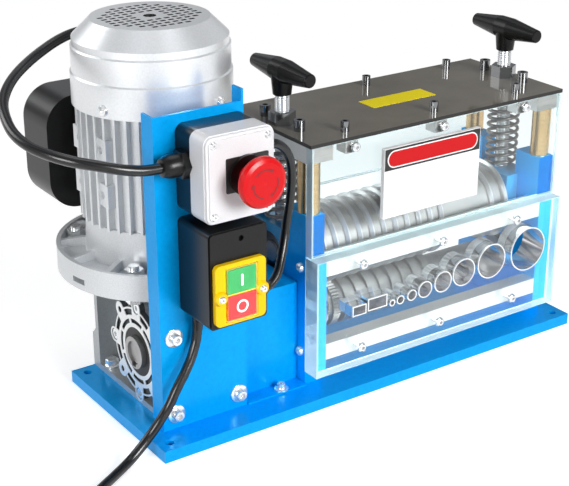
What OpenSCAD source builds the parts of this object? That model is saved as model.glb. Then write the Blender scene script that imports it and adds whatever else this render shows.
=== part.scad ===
// Electric wire stripping machine: a geared motor turns a knurled feed roller, which
// pulls scrap cable from the guide tubes under a row of round blades.
// Lengths are millimetres. The origin is the centre of the base plate's underside;
// +X runs from the motor to the cutter head, -Y is the side where cable goes in.
// Inside the modules, places are counted from the front left corner of the base plate.

/* [Base plate] */
// Length of the base plate, left to right
base_l = 420; // [412:1:460]
// Depth of the base plate, front to back
base_w = 156; // [150:1:176]
// Thickness of the base plate
base_t = 10; // [8:0.5:14]
// Radius of the corner holes
base_hole_r = 3.3; // [2.6:0.1:4]
// Distance of the corner holes from both edges
base_hole_inset = 10; // [9:0.5:12]

/* [Cutter head frame] */
// Left end of the base plate to the outer face of the left end frame
head_x = 147; // [146:0.5:150]
// Outer width of the cutter head over both end frames
head_l = 261; // [259:0.5:262]
// Thickness of an end frame
frame_t = 15.5; // [14:0.5:17]
// Depth of an end frame, front to back
frame_w = 102; // [100:0.5:104]
// Height of an end frame above the base plate
frame_h = 148; // [144:0.5:152]
// Width of the slot that the bearing block slides in
slot_w = 44; // [43:0.5:46]
// Free height of the brass posts
post_h = 43; // [40:0.5:48]
// Radius of a brass post
post_r = 8; // [7:0.25:8.5]
// Distance of the posts from the machine's centre plane
post_dy = 42; // [41:0.5:42.5]
// Width of a top bar along the machine
bar_l = 23; // [22:0.5:24]
// Height of a top bar
bar_h = 14.3; // [13:0.1:16]
// Thickness of the dark top sheet
sheet_t = 3; // [2:0.25:5]
// Overhang of the top sheet past the end frames
sheet_over_x = 1.5; // [0.5:0.25:3]
// Depth of the top sheet, front to back
sheet_w = 118.4; // [117:0.2:121]

/* [Shafts] */
// Height of the feed shaft above the base plate
feed_h = 45; // [45:0.25:48]
// Distance from the feed shaft up to the cutter shaft at rest
shaft_gap = 55.5; // [55.25:0.25:57]
// Radius of the feed roller's rings
feed_r = 21; // [19:0.25:21.25]
// Depth of the grooves between the feed roller's rings
feed_groove = 3; // [2:0.25:5]
// Radius of the cutter shaft's blades
blade_r = 33.5; // [31:0.25:33.75]
// Radius of the spacers between the blades
spacer_r = 29; // [25:0.5:30]
// Thickness of a blade
blade_t = 4; // [3:0.25:5]
// Pitch of the blades along the shaft
blade_pitch = 12.4; // [11.5:0.1:12.6]
// Radius of the shaft journals, the bore of a 17 mm ball bearing
journal_r = 8.5; // [7.5:0.1:9]
// Outer radius of the ball bearings
bearing_r = 17.5; // [16:0.1:18]
// Width of a ball bearing
bearing_w = 10; // [9:0.5:12]

/* [Springs and handles] */
// Distance of a handle's rod from the outer face of its end frame
rod_dx = 12.5; // [12:0.25:13]
// Radius of the handle's threaded rod
rod_r = 6; // [5:0.1:6.5]
// Radius of a spring, measured to the middle of its wire
spring_r = 13; // [11:0.25:13.5]
// Thickness of the spring wire
wire_d = 3; // [2:0.1:3.2]
// Number of curls in a spring
spring_curls = 9; // [7:1:10]
// Length of a T-handle's bar
handle_l = 77; // [70:1:78]
// Radius of a T-handle's bar in the middle
handle_r = 9.5; // [8:0.25:10]
// Radius of a T-handle's bar at its ends
handle_end_r = 5.5; // [4:0.25:6]
// Height of the T-handle's bar above the top sheet
handle_rise = 43; // [41:0.5:50]

/* [Guards and guide block] */
// Thickness of the clear guards
guard_t = 8; // [6:0.25:8]
// Height of the front guard
front_guard_h = 91; // [85:0.5:92]
// Height of the rear guard
rear_guard_h = 80; // [70:1:86]
// Thickness of the clear guide block
block_t = 16.2; // [14:0.1:18]
// Height of the guide block
block_h = 101; // [99:0.5:102]
// Gap between the base plate and the guide block
block_lift = 12; // [10:0.5:13]
// Side of the square tie bars behind the guide block
tie_s = 14; // [12:0.5:14]
// Wall of the guide tubes
tube_wall = 1; // [0.6:0.1:1.4]
// Length of the guide tubes
tube_l = 26; // [22:0.5:27]
// Distance that the guide tubes stand proud of the guide block
tube_proud = 1.5; // [0.5:0.25:3]
// Side of the cubes that hold the guards to the top sheet
cube_s = 12; // [10:0.5:12]

/* [Gearbox] */
// Left end of the base plate to the middle of the gearbox and motor
drive_x = 65; // [64:0.5:66]
// Length of the hollow output shaft
hollow_l = 94; // [92:0.5:96]
// Outer radius of the hollow output shaft
hollow_r = 13.3; // [12.5:0.1:14]
// Radius of the hollow shaft's bore
hollow_bore_r = 9.5; // [8.75:0.1:10]
// Width of the housing over its output covers
housing_l = 87; // [85:0.5:89]
// Distance from the output shaft back to the motor shaft
worm_dy = 38; // [36:0.5:39]
// Height of the gearbox housing
housing_h = 100; // [98:0.5:102]
// Radius of the circle of the output cover's screws
cover_pitch_r = 37.5; // [36:0.25:37.5]
// Radius of the output cover's lobes
lobe_r = 6.5; // [6:0.1:7]
// Outer radius of the oil seals
seal_r = 20; // [18:0.5:21]

/* [Motor] */
// Radius of the two clamped motor flanges
flange_r = 81; // [79:0.5:83]
// Thickness of the gearbox's flange
low_flange_t = 9.5; // [8:0.5:11]
// Thickness of the motor's flange with its raised rim
high_flange_t = 11.5; // [10:0.5:13]
// Height of the smooth bell above the motor flange
bell_h = 24; // [20:1:28]
// Height of the finned motor body
body_h = 91; // [88:1:94]
// Radius over the cooling fins
fin_r = 60; // [58:0.25:60.25]
// Radius of the motor body between the fins
core_r = 53; // [50:0.5:54]
// Thickness of a cooling fin
fin_t = 2; // [1.5:0.1:2.4]
// Radius of the fan cowl's skirt
cowl_r = 62.2; // [62:0.1:63]
// Height of the fan cowl
cowl_h = 64; // [60:1:68]
// Thickness of the fan cowl's sheet
cowl_t = 1.5; // [1:0.1:2]
// Radius of the cowl's flat top
cowl_top_r = 46; // [44:0.5:48]
// Radius of the motor shaft
motor_shaft_r = 7; // [6:0.1:7.5]
// Radius of the cooling fan
fan_r = 50; // [44:0.5:52]

/* [Capacitor box] */
// Width of the capacitor box
cap_l = 120; // [110:1:122]
// Height of the capacitor box
cap_h = 94; // [86:1:96]
// Depth of the capacitor box's body
cap_w = 31; // [28:0.5:34]
// Thickness of the capacitor box's lid
cap_lid_t = 12; // [8:0.5:14]
// Radius of the box's corners
cap_corner_r = 25; // [16:1:28]

/* [Control bracket and gear cover] */
// Left end of the base plate to the control bracket
bracket_x = 14; // [12:0.5:15]
// Width of the control bracket
bracket_l = 76; // [75:0.5:80]
// Height of the control bracket
bracket_h = 252; // [248:1:262]
// Thickness of the bracket's sheet
bracket_t = 2; // [1.5:0.1:2]
// Depth of the bracket's left flange
bracket_left_w = 16; // [12:0.5:18]
// Depth of the bracket's right flange
bracket_right_w = 12.5; // [10:0.5:14]
// Distance from the output shaft forward to the bracket's back face
bracket_dy = 50; // [49.5:0.25:50.5]
// Thickness of the gear cover's sheet
gear_cover_t = 1.6; // [1.2:0.1:2]
// Height of the gear cover
gear_cover_h = 88; // [86:0.5:92]

/* [Stop box] */
// Width of the stop box
stop_l = 58.5; // [56:0.5:60]
// Height of the stop box
stop_h = 66; // [62:0.5:68]
// Depth of the stop box's black base
stop_base_w = 20; // [17:0.5:24]
// Depth of the stop box's pale cover
stop_cover_w = 21; // [18:0.5:24]
// Bottom of the stop box above the base plate
stop_z = 179; // [178:0.5:182]
// Radius of the mushroom head
mushroom_r = 19; // [17:0.5:20]
// Thickness of the mushroom head
mushroom_t = 15; // [13:0.5:17]
// Travel of the mushroom head
mushroom_travel = 5; // [3:0.5:6]

/* [Switch box] */
// Width of the switch box
switch_l = 50; // [48:0.5:52]
// Height of the switch box
switch_h = 76; // [74:0.5:77]
// Depth of the switch box without its lid
switch_base_w = 36; // [33:0.5:38]
// Thickness of the switch box's lid
switch_lid_t = 7; // [5:0.5:8]
// Bottom of the switch box above the base plate
switch_z = 98; // [97:0.5:98.5]
// Width of the yellow bezel
bezel_l = 43; // [41:0.5:45]
// Height of the yellow bezel
bezel_h = 48; // [46:0.5:50]
// Travel of the start and stop buttons
button_travel = 2.5; // [1.5:0.25:3]

/* [Cords] */
// Diameter of the power cord and its coil
power_d = 7.5; // [7:0.1:8]
// Diameter of the lead to the motor
motor_lead_d = 8; // [7:0.1:8.5]
// Diameter of the lead between the two boxes
link_lead_d = 7; // [6:0.1:7.5]
// Turns in each of the coil's two layers
coil_turns = 2.5; // [1.5:1:2.5]
// Radius of the coil's inner turn, to the middle of the cord
coil_in_r = 33; // [30:1:36]

/* [Hidden] */
$fn = 48;
// One overrun for every cut
over = 1;
// Clearance of a screw or journal in its hole
fit = 0.05;
// Clearance between sliding or stacked pieces
slack = 0.3;

// Heights and centre planes that several pieces share
axis_y = base_w / 2;
axis_z = base_t + feed_h;
plate_y = axis_y - bracket_dy;
cutter_z = axis_z + shaft_gap;
frame_top = base_t + frame_h;
bar_z = frame_top + post_h;
sheet_z = bar_z + bar_h;
sheet_top = sheet_z + sheet_t;
frame_y = axis_y - frame_w / 2;
head_end = head_x + head_l;
left_in_x = head_x + frame_t;
right_in_x = head_end - frame_t;
post_x = [head_x + frame_t / 2, head_end - frame_t / 2];
rod_x = [head_x + rod_dx, head_end - rod_dx];
bar_x = [head_x, head_end - bar_l];
motor_y = axis_y + worm_dy;
flange_z = base_t + housing_h;
clamp_z = flange_z + low_flange_t;
bell_z = clamp_z + high_flange_t;
fins_z = bell_z + bell_h;
cowl_z = fins_z + body_h;
cowl_top = cowl_z + cowl_h;
cover_x = drive_x - housing_l / 2;
housing_end = drive_x + housing_l / 2;
seat_reach = 13;
shoulder_gap = 0.5;
cut_from = left_in_x + seat_reach + shoulder_gap;
cut_to = right_in_x - seat_reach - shoulder_gap;

// Gives a direction a length of one
function unit(v) = v / norm(v);

// Moves a piece from the base plate's corner, or from its left end, to the model's own origin
module placed() translate([-base_l / 2, -axis_y, 0]) children();
module placed_mid() translate([-base_l / 2, 0, 0]) children();

// A block between two opposite corners
module block(low, high) translate(low) cube(high - low);

// Sheets drawn in the plane across X, Y or Z and thickened between two places
module slab_x(from, to) translate([from, 0, 0]) rotate([90, 0, 90]) linear_extrude(height = to - from)
    children();
module slab_y(from, to) translate([0, to, 0]) rotate([90, 0, 0]) linear_extrude(height = to - from)
    children();
module slab_z(from, to) translate([0, 0, from]) linear_extrude(height = to - from) children();

// Round bars and turned profiles along each axis; a profile's points are radius and place
module pole_x(from, to, y, z, r) translate([from, y, z]) rotate([0, 90, 0]) cylinder(h = to - from, r = r);
module pole_y(from, to, x, z, r) translate([x, to, z]) rotate([90, 0, 0]) cylinder(h = to - from, r = r);
module pole_z(from, to, x, y, r) translate([x, y, from]) cylinder(h = to - from, r = r);
module turned_x(y, z) translate([0, y, z]) rotate([0, 90, 0]) rotate_extrude() children();
module turned_y(x, z) translate([x, 0, z]) rotate([-90, 0, 0]) rotate_extrude() children();
module turned_z(x, y) translate([x, y, 0]) rotate_extrude() children();

// A rectangle with round corners, given by its low corner and its size
module round_rect(low, size, r) {
    translate([low[0] + r, low[1]]) square([size[0] - 2 * r, size[1]]);
    translate([low[0], low[1] + r]) square([size[0], size[1] - 2 * r]);
    for (x = [low[0] + r, low[0] + size[0] - r], y = [low[1] + r, low[1] + size[1] - r])
        translate([x, y]) circle(r);
}

// A six-sided nut or bolt head, by its width over flats
module hexagon(flats) rotate(30) circle(r = flats / sqrt(3), $fn = 6);

// Base plate
module base_plate() {
    color("#0a6fc8") difference() {
        cube([base_l, base_w, base_t]);
        for (x = [base_hole_inset, base_l - base_hole_inset], y = [base_hole_inset,
            base_w - base_hole_inset])
            pole_z(-over, base_t + over, x, y, base_hole_r);
        for (p = foot_bolts) pole_z(base_t - foot_bolt_deep, base_t + over, p[0], p[1], foot_bolt_r + fit);
        for (p = cover_bolts) pole_z(base_t - cover_bolt_deep, base_t + over, p[0], p[1],
            cover_bolt_r + fit);
    }
}

// End frames, each with an open slot for a bearing block and a bore for a lower bearing
slot_bottom_drop = 29.5;
slot_bottom = cutter_z - slot_bottom_drop;
frame_screw_r = 2.5;
module end_frame(x) {
    difference() {
        block([x, frame_y, base_t], [x + frame_t, frame_y + frame_w, frame_top]);
        block([x - over, axis_y - slot_w / 2, slot_bottom], [x + frame_t + over, axis_y + slot_w / 2,
            frame_top + over]);
        pole_x(x - over, x + frame_t + over, axis_y, axis_z, bearing_r + fit);
        for (z = tie_z) pole_x(x - over, x + frame_t + over, tie_y, z, frame_screw_r + fit);
    }
}
module end_frames() color("#0f7ad6") {
    end_frame(head_x);
    end_frame(right_in_x);
}

// Brass posts between the end frames and the top bars
module brass_posts() color("#c9a267") {
    for (x = post_x, dy = [-post_dy, post_dy]) pole_z(frame_top, bar_z, x, axis_y + dy, post_r);
}

// Top bars with the threaded holes of the handle rods and the top screws
top_screw_dy = 24;
top_screw_r = 3;
top_screw_deep = 9;
module top_bars() color("#c4c7c9") {
    for (i = [0, 1]) difference() {
        block([bar_x[i], frame_y, bar_z], [bar_x[i] + bar_l, frame_y + frame_w, sheet_z]);
        pole_z(bar_z - over, sheet_z + over, rod_x[i], axis_y, rod_r + fit);
        for (dy = [-top_screw_dy, top_screw_dy])
            pole_z(sheet_z - top_screw_deep, sheet_z + over, rod_x[i], axis_y + dy, top_screw_r + fit);
    }
}

// Top sheet of dark glossy plastic
sheet_y = axis_y - sheet_w / 2;
cube_share = [0.157, 0.502, 0.847];
cube_x = [for (s = cube_share) head_x + head_l * s];
cube_screw_r = 2;
cube_screw_deep = 3.5;
front_cube_y = frame_y;
rear_cube_y = frame_y + frame_w - cube_s;
cube_ys = [front_cube_y + cube_s / 2, rear_cube_y + cube_s / 2];
module top_sheet() color("#2c2b29") difference() {
    block([head_x - sheet_over_x, sheet_y, sheet_z], [head_end + sheet_over_x, sheet_y + sheet_w,
        sheet_top]);
    for (x = rod_x) pole_z(sheet_z - over, sheet_top + over, x, axis_y, rod_r + slack);
    for (x = rod_x, dy = [-top_screw_dy, top_screw_dy])
        pole_z(sheet_z - over, sheet_top + over, x, axis_y + dy, top_screw_r + fit);
    for (x = cube_x, y = cube_ys) pole_z(sheet_z - over, sheet_top + over, x, y, cube_screw_r + fit);
}

// Socket cap screws in the top sheet, and the nuts that lock the handle rods
cap_head_r = 4.6;
cap_head_h = 9;
small_head_r = 3.6;
small_head_h = 8.5;
nut_h = 10;
nut_flats = 19;
socket_r_share = 0.52;
socket_deep_share = 0.6;
module cap_screw_z(x, y, head_r, head_h, shank_r, shank_l) difference() {
    union() {
        pole_z(sheet_top, sheet_top + head_h, x, y, head_r);
        pole_z(sheet_top - shank_l, sheet_top, x, y, shank_r);
    }
    translate([x, y, sheet_top + head_h * (1 - socket_deep_share)])
        cylinder(h = head_h, r = head_r * socket_r_share, $fn = 6);
}
module top_fasteners() color("#8d8b88") {
    for (x = rod_x, dy = [-top_screw_dy, top_screw_dy])
        cap_screw_z(x, axis_y + dy, cap_head_r, cap_head_h, top_screw_r, sheet_t + top_screw_deep);
    for (x = cube_x, y = cube_ys) cap_screw_z(x, y, small_head_r, small_head_h, cube_screw_r,
        sheet_t + cube_screw_deep);
    for (x = rod_x) slab_z(sheet_top, sheet_top + nut_h) difference() {
        translate([x, axis_y]) hexagon(nut_flats);
        translate([x, axis_y]) circle(rod_r + fit);
    }
}

// Clear guards before and behind the top of the cutter head
front_guard_y = frame_y - guard_t;
rear_guard_y = frame_y + frame_w;
guard_screw_z = sheet_z - cube_s / 2;
guard_screw_r = 2;
guard_screw_deep = 7;
module guard(y, h) difference() {
    block([head_x, y, sheet_z - h], [head_end, y + guard_t, sheet_z]);
    for (x = cube_x) pole_y(y - over, y + guard_t + over, x, guard_screw_z, guard_screw_r + fit);
}
module front_guard() color("#e6f1f2", 0.35) guard(front_guard_y, front_guard_h);
module rear_guard() color("#e6f1f2", 0.35) guard(rear_guard_y, rear_guard_h);

// Cubes under the top sheet that the guards are screwed to
module guard_cubes() color("#c4c7c9") {
    for (x = cube_x, front = [true, false]) difference() {
        translate([x - cube_s / 2, front ? front_cube_y : rear_cube_y, sheet_z - cube_s]) cube(cube_s);
        pole_z(sheet_z - cube_screw_deep, sheet_z + over, x, front ? cube_ys[0] : cube_ys[1],
            cube_screw_r + fit);
        if (front) pole_y(front_cube_y - over, front_cube_y + guard_screw_deep, x, guard_screw_z,
            guard_screw_r + fit);
        else pole_y(rear_guard_y - guard_screw_deep, rear_guard_y + over, x, guard_screw_z,
            guard_screw_r + fit);
    }
}

// Guide block: clear plate in front, bored for one guide tube per cable size.
// Each round tube has its place from the head's left face and its outer radius, both as a
// share of the head's length, and its height above the base plate.
block_y = frame_y - block_t - slack;
block_z = base_t + block_lift;
tube_x = head_l * [0.2866, 0.3199, 0.3659, 0.4199, 0.4939, 0.5816, 0.7011, 0.8632];
tube_r = head_l * [0.0115, 0.01533, 0.01916, 0.02874, 0.0364, 0.04789, 0.06034, 0.07663];
tube_z = [60.5, 61, 62, 63.5, 65.5, 68.5, 71, 72];
flat_tube_x = head_l * [0.1571, 0.2276];
flat_tube_l = head_l * [0.0536, 0.0766];
flat_tube_h = [9, 11];
flat_tube_z = [63, 65];
guide_share = [0.1724, 0.4904, 0.8084];
guide_screw_x = [for (s = guide_share) head_x + head_l * s];
tie_y = frame_y + tie_s / 2;
tie_edge = 16;
tie_rise = 74;
tie_z = [block_z + tie_edge, block_z + tie_edge + tie_rise];
guide_screw_deep = 8;
module tube_holes(grow) {
    for (i = [0 : len(tube_x) - 1])
        pole_y(block_y - over, frame_y + over, head_x + tube_x[i], base_t + tube_z[i], tube_r[i] + grow);
    for (i = [0, 1]) block(
        [head_x + flat_tube_x[i] - flat_tube_l[i] / 2 - grow, block_y - over,
            base_t + flat_tube_z[i] - flat_tube_h[i] / 2 - grow],
        [head_x + flat_tube_x[i] + flat_tube_l[i] / 2 + grow, frame_y + over,
            base_t + flat_tube_z[i] + flat_tube_h[i] / 2 + grow]);
}
module guide_block() color("#dfeff2", 0.35) difference() {
    block([head_x - slack, block_y, block_z], [head_end + slack, block_y + block_t, block_z + block_h]);
    tube_holes(fit);
    for (x = guide_screw_x, z = tie_z) pole_y(block_y - over, frame_y, x, z, guard_screw_r + fit);
}

// Square tie bars between the end frames, which also carry the guide block
module tie_bars() color("#cfd2d3") {
    for (z = tie_z) difference() {
        block([left_in_x, frame_y, z - tie_s / 2], [right_in_x, frame_y + tie_s, z + tie_s / 2]);
        for (x = guide_screw_x) pole_y(frame_y - over, frame_y + guide_screw_deep, x, z,
            guard_screw_r + fit);
        for (x = [left_in_x - over, right_in_x - frame_screw_deep])
            pole_x(x, x + frame_screw_deep + over, tie_y, z, frame_screw_r + fit);
    }
}

// Guide tubes of polished steel
frame_screw_deep = 8;
tube_from = block_y - tube_proud;
module guide_tubes() color("#e2e4e6") {
    for (i = [0 : len(tube_x) - 1]) difference() {
        pole_y(tube_from, tube_from + tube_l, head_x + tube_x[i], base_t + tube_z[i], tube_r[i]);
        pole_y(tube_from - over, tube_from + tube_l + over, head_x + tube_x[i], base_t + tube_z[i],
            tube_r[i] - tube_wall);
    }
    for (i = [0, 1]) translate([head_x + flat_tube_x[i], 0, base_t + flat_tube_z[i]]) slab_y(tube_from,
        tube_from + tube_l)
        difference() {
            square([flat_tube_l[i], flat_tube_h[i]], center = true);
            square([flat_tube_l[i] - 2 * tube_wall, flat_tube_h[i] - 2 * tube_wall], center = true);
        }
}

// Button-head screws of the guards and the guide block, and pan screws of the end frames
button_head_r = 4.2;
button_head_h = 2.6;
module button_screw(shank_r, shank_l) {
    difference() {
        rotate_extrude() polygon([[0, -button_head_h], [button_head_r * 0.6, -button_head_h],
            [button_head_r * 0.88, -button_head_h * 0.7], [button_head_r, 0], [0, 0]]);
        translate([0, 0, -button_head_h - over]) cylinder(h = over + button_head_h * 0.6,
            r = button_head_r * 0.4, $fn = 6);
    }
    cylinder(h = shank_l, r = shank_r);
}
module button_screws() color("#c9cacb") {
    for (x = guide_screw_x, z = tie_z) translate([x, block_y, z]) rotate([-90, 0, 0])
        button_screw(guard_screw_r, block_t + slack + guide_screw_deep);
    for (x = cube_x) translate([x, front_guard_y, guard_screw_z]) rotate([-90, 0, 0])
        button_screw(guard_screw_r, guard_t + guard_screw_deep);
    for (x = cube_x) translate([x, rear_guard_y + guard_t, guard_screw_z]) rotate([90, 0, 0])
        button_screw(guard_screw_r, guard_t + guard_screw_deep);
    for (z = tie_z) translate([head_x, tie_y, z]) rotate([0, 90, 0]) button_screw(frame_screw_r,
        frame_t + frame_screw_deep);
    for (z = tie_z) translate([head_end, tie_y, z]) rotate([0, -90, 0]) button_screw(frame_screw_r,
        frame_t + frame_screw_deep);
}

// Plain sign plate on the front guard
sign_l = 100;
sign_h = 59;
sign_t = 4;
sign_in = 67;
sign_drop = 71.5;
sign_x = head_x + sign_in;
sign_z = sheet_z - sign_drop;
module sign_plate() color("#f2f2f2")
    block([sign_x, front_guard_y - sign_t, sign_z], [sign_x + sign_l, front_guard_y, sign_z + sign_h]);

// Gearbox housing: a worm housing with feet behind and below, and a round boss to each side
core_l = 51;
core_r_over = 2.5;
core_x = drive_x - core_l / 2;
foot_t = 5;
back_dy = 72;
back_foot_w = 6;
back_y = axis_y + back_dy;
back_foot_y = back_y + back_foot_w;
back_foot_h = 30;
boss_r = 36.5;
worm_case_r = 33;
bore_gap = 0.4;
foot_l = housing_end - cover_x;
foot_bolt_r = 4;
foot_bolt_deep = 6;
foot_bolt_in = 6.6;
foot_bolt_back = 14;
foot_bolt_front = 12;
foot_bolts = [[cover_x + foot_bolt_in, back_y - foot_bolt_back],
    [housing_end - foot_bolt_in, back_y - foot_bolt_back], [cover_x + foot_bolt_in,
        plate_y + foot_bolt_front]];
foot_cut_x = bracket_x + bracket_l;
module gearbox_housing() color("#b9bbbc") difference() {
    union() {
        slab_x(core_x, core_x + core_l) union() {
            translate([axis_y, axis_z]) circle(boss_r + core_r_over);
            translate([plate_y + foot_t, base_t + foot_t]) square([back_y - plate_y - 2 * foot_t,
                axis_z - base_t]);
            translate([motor_y - worm_case_r, axis_z]) square([2 * worm_case_r, flange_z - axis_z]);
        }
        pole_x(cover_end, housing_end, axis_y, axis_z, boss_r);
        slab_x(cover_end, core_x + over) lobed_outline();
        slab_z(base_t, base_t + foot_t) union() {
            translate([cover_x, plate_y]) square([foot_cut_x - cover_x, back_foot_y - plate_y]);
            translate([cover_x, back_y - back_foot_h]) square([foot_l, back_foot_h + back_foot_y - back_y]);
        }
        slab_x(cover_x, housing_end) polygon([[back_y, base_t], [back_foot_y, base_t],
            [back_foot_y, base_t + back_foot_h], [back_y, base_t + back_foot_h + back_foot_y - back_y],
            [back_y, flange_z], [back_y - foot_t, flange_z], [back_y - foot_t, base_t]]);
        block([cover_x, plate_y, base_t], [foot_cut_x, plate_y + foot_t, flange_z - front_foot_drop]);
    }
    slab_x(cover_x - over, cover_end) lobed_outline(fit);
    pole_x(cover_end - over, housing_end + over, axis_y, axis_z, hollow_r + bore_gap);
    pole_x(housing_end - seal_t, housing_end + over, axis_y, axis_z, seal_r + fit);
    pole_z(worm_bore_z, flange_z + over, drive_x, motor_y, motor_shaft_r + fit);
    for (p = foot_bolts) pole_z(base_t - over, base_t + foot_t + over, p[0], p[1], foot_bolt_r + fit);
    for (p = bracket_bolts) pole_y(plate_y - over, plate_y + bracket_bolt_deep, p[0], p[1],
        bracket_bolt_r + fit);
    for (a = [0 : 90 : 359]) pole_x(cover_end - over, cover_end + cover_screw_deep,
        axis_y + cover_pitch_r * cos(a), axis_z + cover_pitch_r * sin(a), cover_screw_r + fit);
}
front_foot_drop = 4;
worm_wall = 8;
worm_bore_z = axis_z + hollow_r + worm_wall;
cover_t = 5;
cover_end = cover_x + cover_t;
seal_t = 7;
cover_screw_r = 2.5;
cover_screw_deep = 8;

// Outline that the output cover and the housing's left boss share: eight lobes on a round body
module lobed_outline(grow = 0) translate([axis_y, axis_z]) {
    circle(boss_r + grow);
    for (a = [0 : 45 : 359]) rotate(a) translate([cover_pitch_r, 0]) circle(lobe_r + grow);
}

// Output cover: lobes with screw pockets and threaded holes, a ring of pockets and a seal seat
pocket_r = 5;
pocket_deep = 3.2;
tapped_r = 2.6;
rim_r = 28.5;
ring_in_r = 22;
web_t = 3;
recess_deep = 2.2;
module ring_sector(r_in, r_out, count, gap, turn) difference() {
    circle(r_out);
    circle(r_in);
    for (i = [0 : count - 1]) rotate(turn + i * 360 / count) translate([0, -gap / 2])
        square([r_out + gap, gap]);
}
module output_cover() color("#cdcfd0") difference() {
    slab_x(cover_x, cover_end) lobed_outline();
    pole_x(cover_x - over, cover_end + over, axis_y, axis_z, seal_r + fit);
    for (a = [0 : 90 : 359]) translate([0, axis_y + cover_pitch_r * cos(a),
        axis_z + cover_pitch_r * sin(a)]) {
        pole_x(cover_x - over, cover_x + pocket_deep, 0, 0, pocket_r);
        pole_x(cover_x - over, cover_end + over, 0, 0, cover_screw_r + fit);
    }
    for (a = [45 : 90 : 359]) pole_x(cover_x - over, cover_end + over,
        axis_y + cover_pitch_r * cos(a), axis_z + cover_pitch_r * sin(a), tapped_r);
    translate([0, axis_y, axis_z]) slab_x(cover_x - over, cover_x + recess_deep)
        ring_sector(ring_in_r + web_t / 2, rim_r - web_t / 2, 8, web_t, 22.5);
    translate([0, axis_y, axis_z]) slab_x(cover_x - over, cover_x + recess_deep) difference() {
        ring_sector(rim_r + web_t / 2, boss_r - web_t / 2, 8, 2 * pocket_r + web_t, 0);
    }
}

// Oil seals around the hollow shaft at both ends
module oil_seal(from, to) difference() {
    pole_x(from, to, axis_y, axis_z, seal_r);
    pole_x(from - over, to + over, axis_y, axis_z, hollow_r + fit);
}
module oil_seals() color("#1c1c1c") {
    oil_seal(cover_x + bore_gap, cover_end);
    oil_seal(housing_end - seal_t, housing_end - bore_gap);
}

// Hollow output shaft with its keyway
key_w = 6;
key_h = 2.5;
module hollow_shaft() color("#a9a6a3") difference() {
    pole_x(drive_x - hollow_l / 2, drive_x + hollow_l / 2, axis_y, axis_z, hollow_r);
    pole_x(drive_x - hollow_l / 2 - over, drive_x + hollow_l / 2 + over, axis_y, axis_z, hollow_bore_r);
    block([drive_x - hollow_l / 2 - over, axis_y - key_w / 2, axis_z - hollow_bore_r - key_h],
        [drive_x + hollow_l / 2 + over, axis_y + key_w / 2, axis_z]);
}

// Gearbox input flange, clamped under the motor flange
flange_bolt_r = 4;
flange_pitch_r = 69;
flange_bolt_turn = 45;
slot_notch_w = 14;
slot_notch_deep = 8;
slot_notch_h = 4.5;
notch_turn = 11;
module flange_bolt_holes(from, to) for (i = [0 : 3]) pole_z(from, to,
    drive_x + flange_pitch_r * cos(flange_bolt_turn + 90 * i),
        motor_y + flange_pitch_r * sin(flange_bolt_turn + 90 * i), flange_bolt_r + fit);
module gearbox_flange() color("#b4b6b8") difference() {
    pole_z(flange_z, clamp_z, drive_x, motor_y, flange_r);
    pole_z(flange_z - over, clamp_z + over, drive_x, motor_y, motor_shaft_r + fit);
    flange_bolt_holes(flange_z - over, clamp_z + over);
    for (i = [0 : 3]) translate([drive_x, motor_y, 0]) rotate(90 * i + notch_turn)
        block([flange_r - slot_notch_deep, -slot_notch_w / 2, clamp_z - slot_notch_h], [flange_r + over,
            slot_notch_w / 2, clamp_z + over]);
}

// Motor flange and bell in one casting, with a raised rim and ribs
rim_w = 3.5;
floor_t = 5;
bell_r = 58;
rib_t = 4;
rib_count = 12;
rib_foot_r = 3;
rib_rise = 1;
bell_draft = 1.5;
module motor_end_bell() color("#c3c5c6") difference() {
    union() {
        turned_z(drive_x, motor_y) polygon([[0, clamp_z], [flange_r, clamp_z], [flange_r, bell_z],
            [flange_r - rim_w, bell_z], [flange_r - rim_w, clamp_z + floor_t], [bell_r, clamp_z + floor_t],
            [bell_r - bell_draft, fins_z], [0, fins_z]]);
        translate([drive_x, motor_y, 0]) for (i = [0 : rib_count - 1]) rotate(i * 360 / rib_count)
            translate([0, rib_t / 2, 0]) rotate([90, 0, 0]) linear_extrude(height = rib_t)
                polygon([[bell_r - over, clamp_z + floor_t - over],
                [flange_r - rim_w + over, clamp_z + floor_t - over], [flange_r - rim_w + over,
                    bell_z - bell_draft], [bell_r + rib_foot_r, bell_z + rib_rise], [bell_r - over,
                        bell_z + rib_rise]]);
    }
    pole_z(clamp_z - over, fins_z + over, drive_x, motor_y, motor_shaft_r + fit);
    flange_bolt_holes(clamp_z - over, bell_z + over);
}

// Finned motor body with two rows of foot pads
fin_count = 40;
pad_z = [19, 55];
pad_h = 18;
pad_deep = 9;
pad_w = 17;
pad_reach = 62;
pad_half_pitch = 18;
pad_screw_r = 3;
fin_foot = 8;
module motor_body() color("#b7babc") difference() {
    union() {
        slab_z(fins_z, cowl_z) translate([drive_x, motor_y]) {
            circle(core_r);
            for (i = [0 : fin_count - 1]) rotate((i + 0.5) * 360 / fin_count)
                translate([core_r - over, -fin_t / 2]) square([fin_r - core_r + over, fin_t]);
        }
        for (side = [0, 180, 270], z = pad_z, dy = [-pad_half_pitch, pad_half_pitch]) translate([drive_x,
            motor_y, 0]) rotate(side)
            block([core_r - pad_deep, dy - pad_w / 2, fins_z + z], [sqrt(pow(pad_reach,
                2) - pow(pad_half_pitch + pad_w / 2, 2)), dy + pad_w / 2, fins_z + z + pad_h]);
    }
    pole_z(fins_z - over, cowl_z + over, drive_x, motor_y, motor_shaft_r + fit);
    for (side = [0, 180, 270], z = pad_z, dy = [-pad_half_pitch, pad_half_pitch]) translate([drive_x,
        motor_y, 0]) rotate(side)
        pole_x(core_r, pad_reach, dy, fins_z + z + pad_h / 2, pad_screw_r);
}

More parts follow.
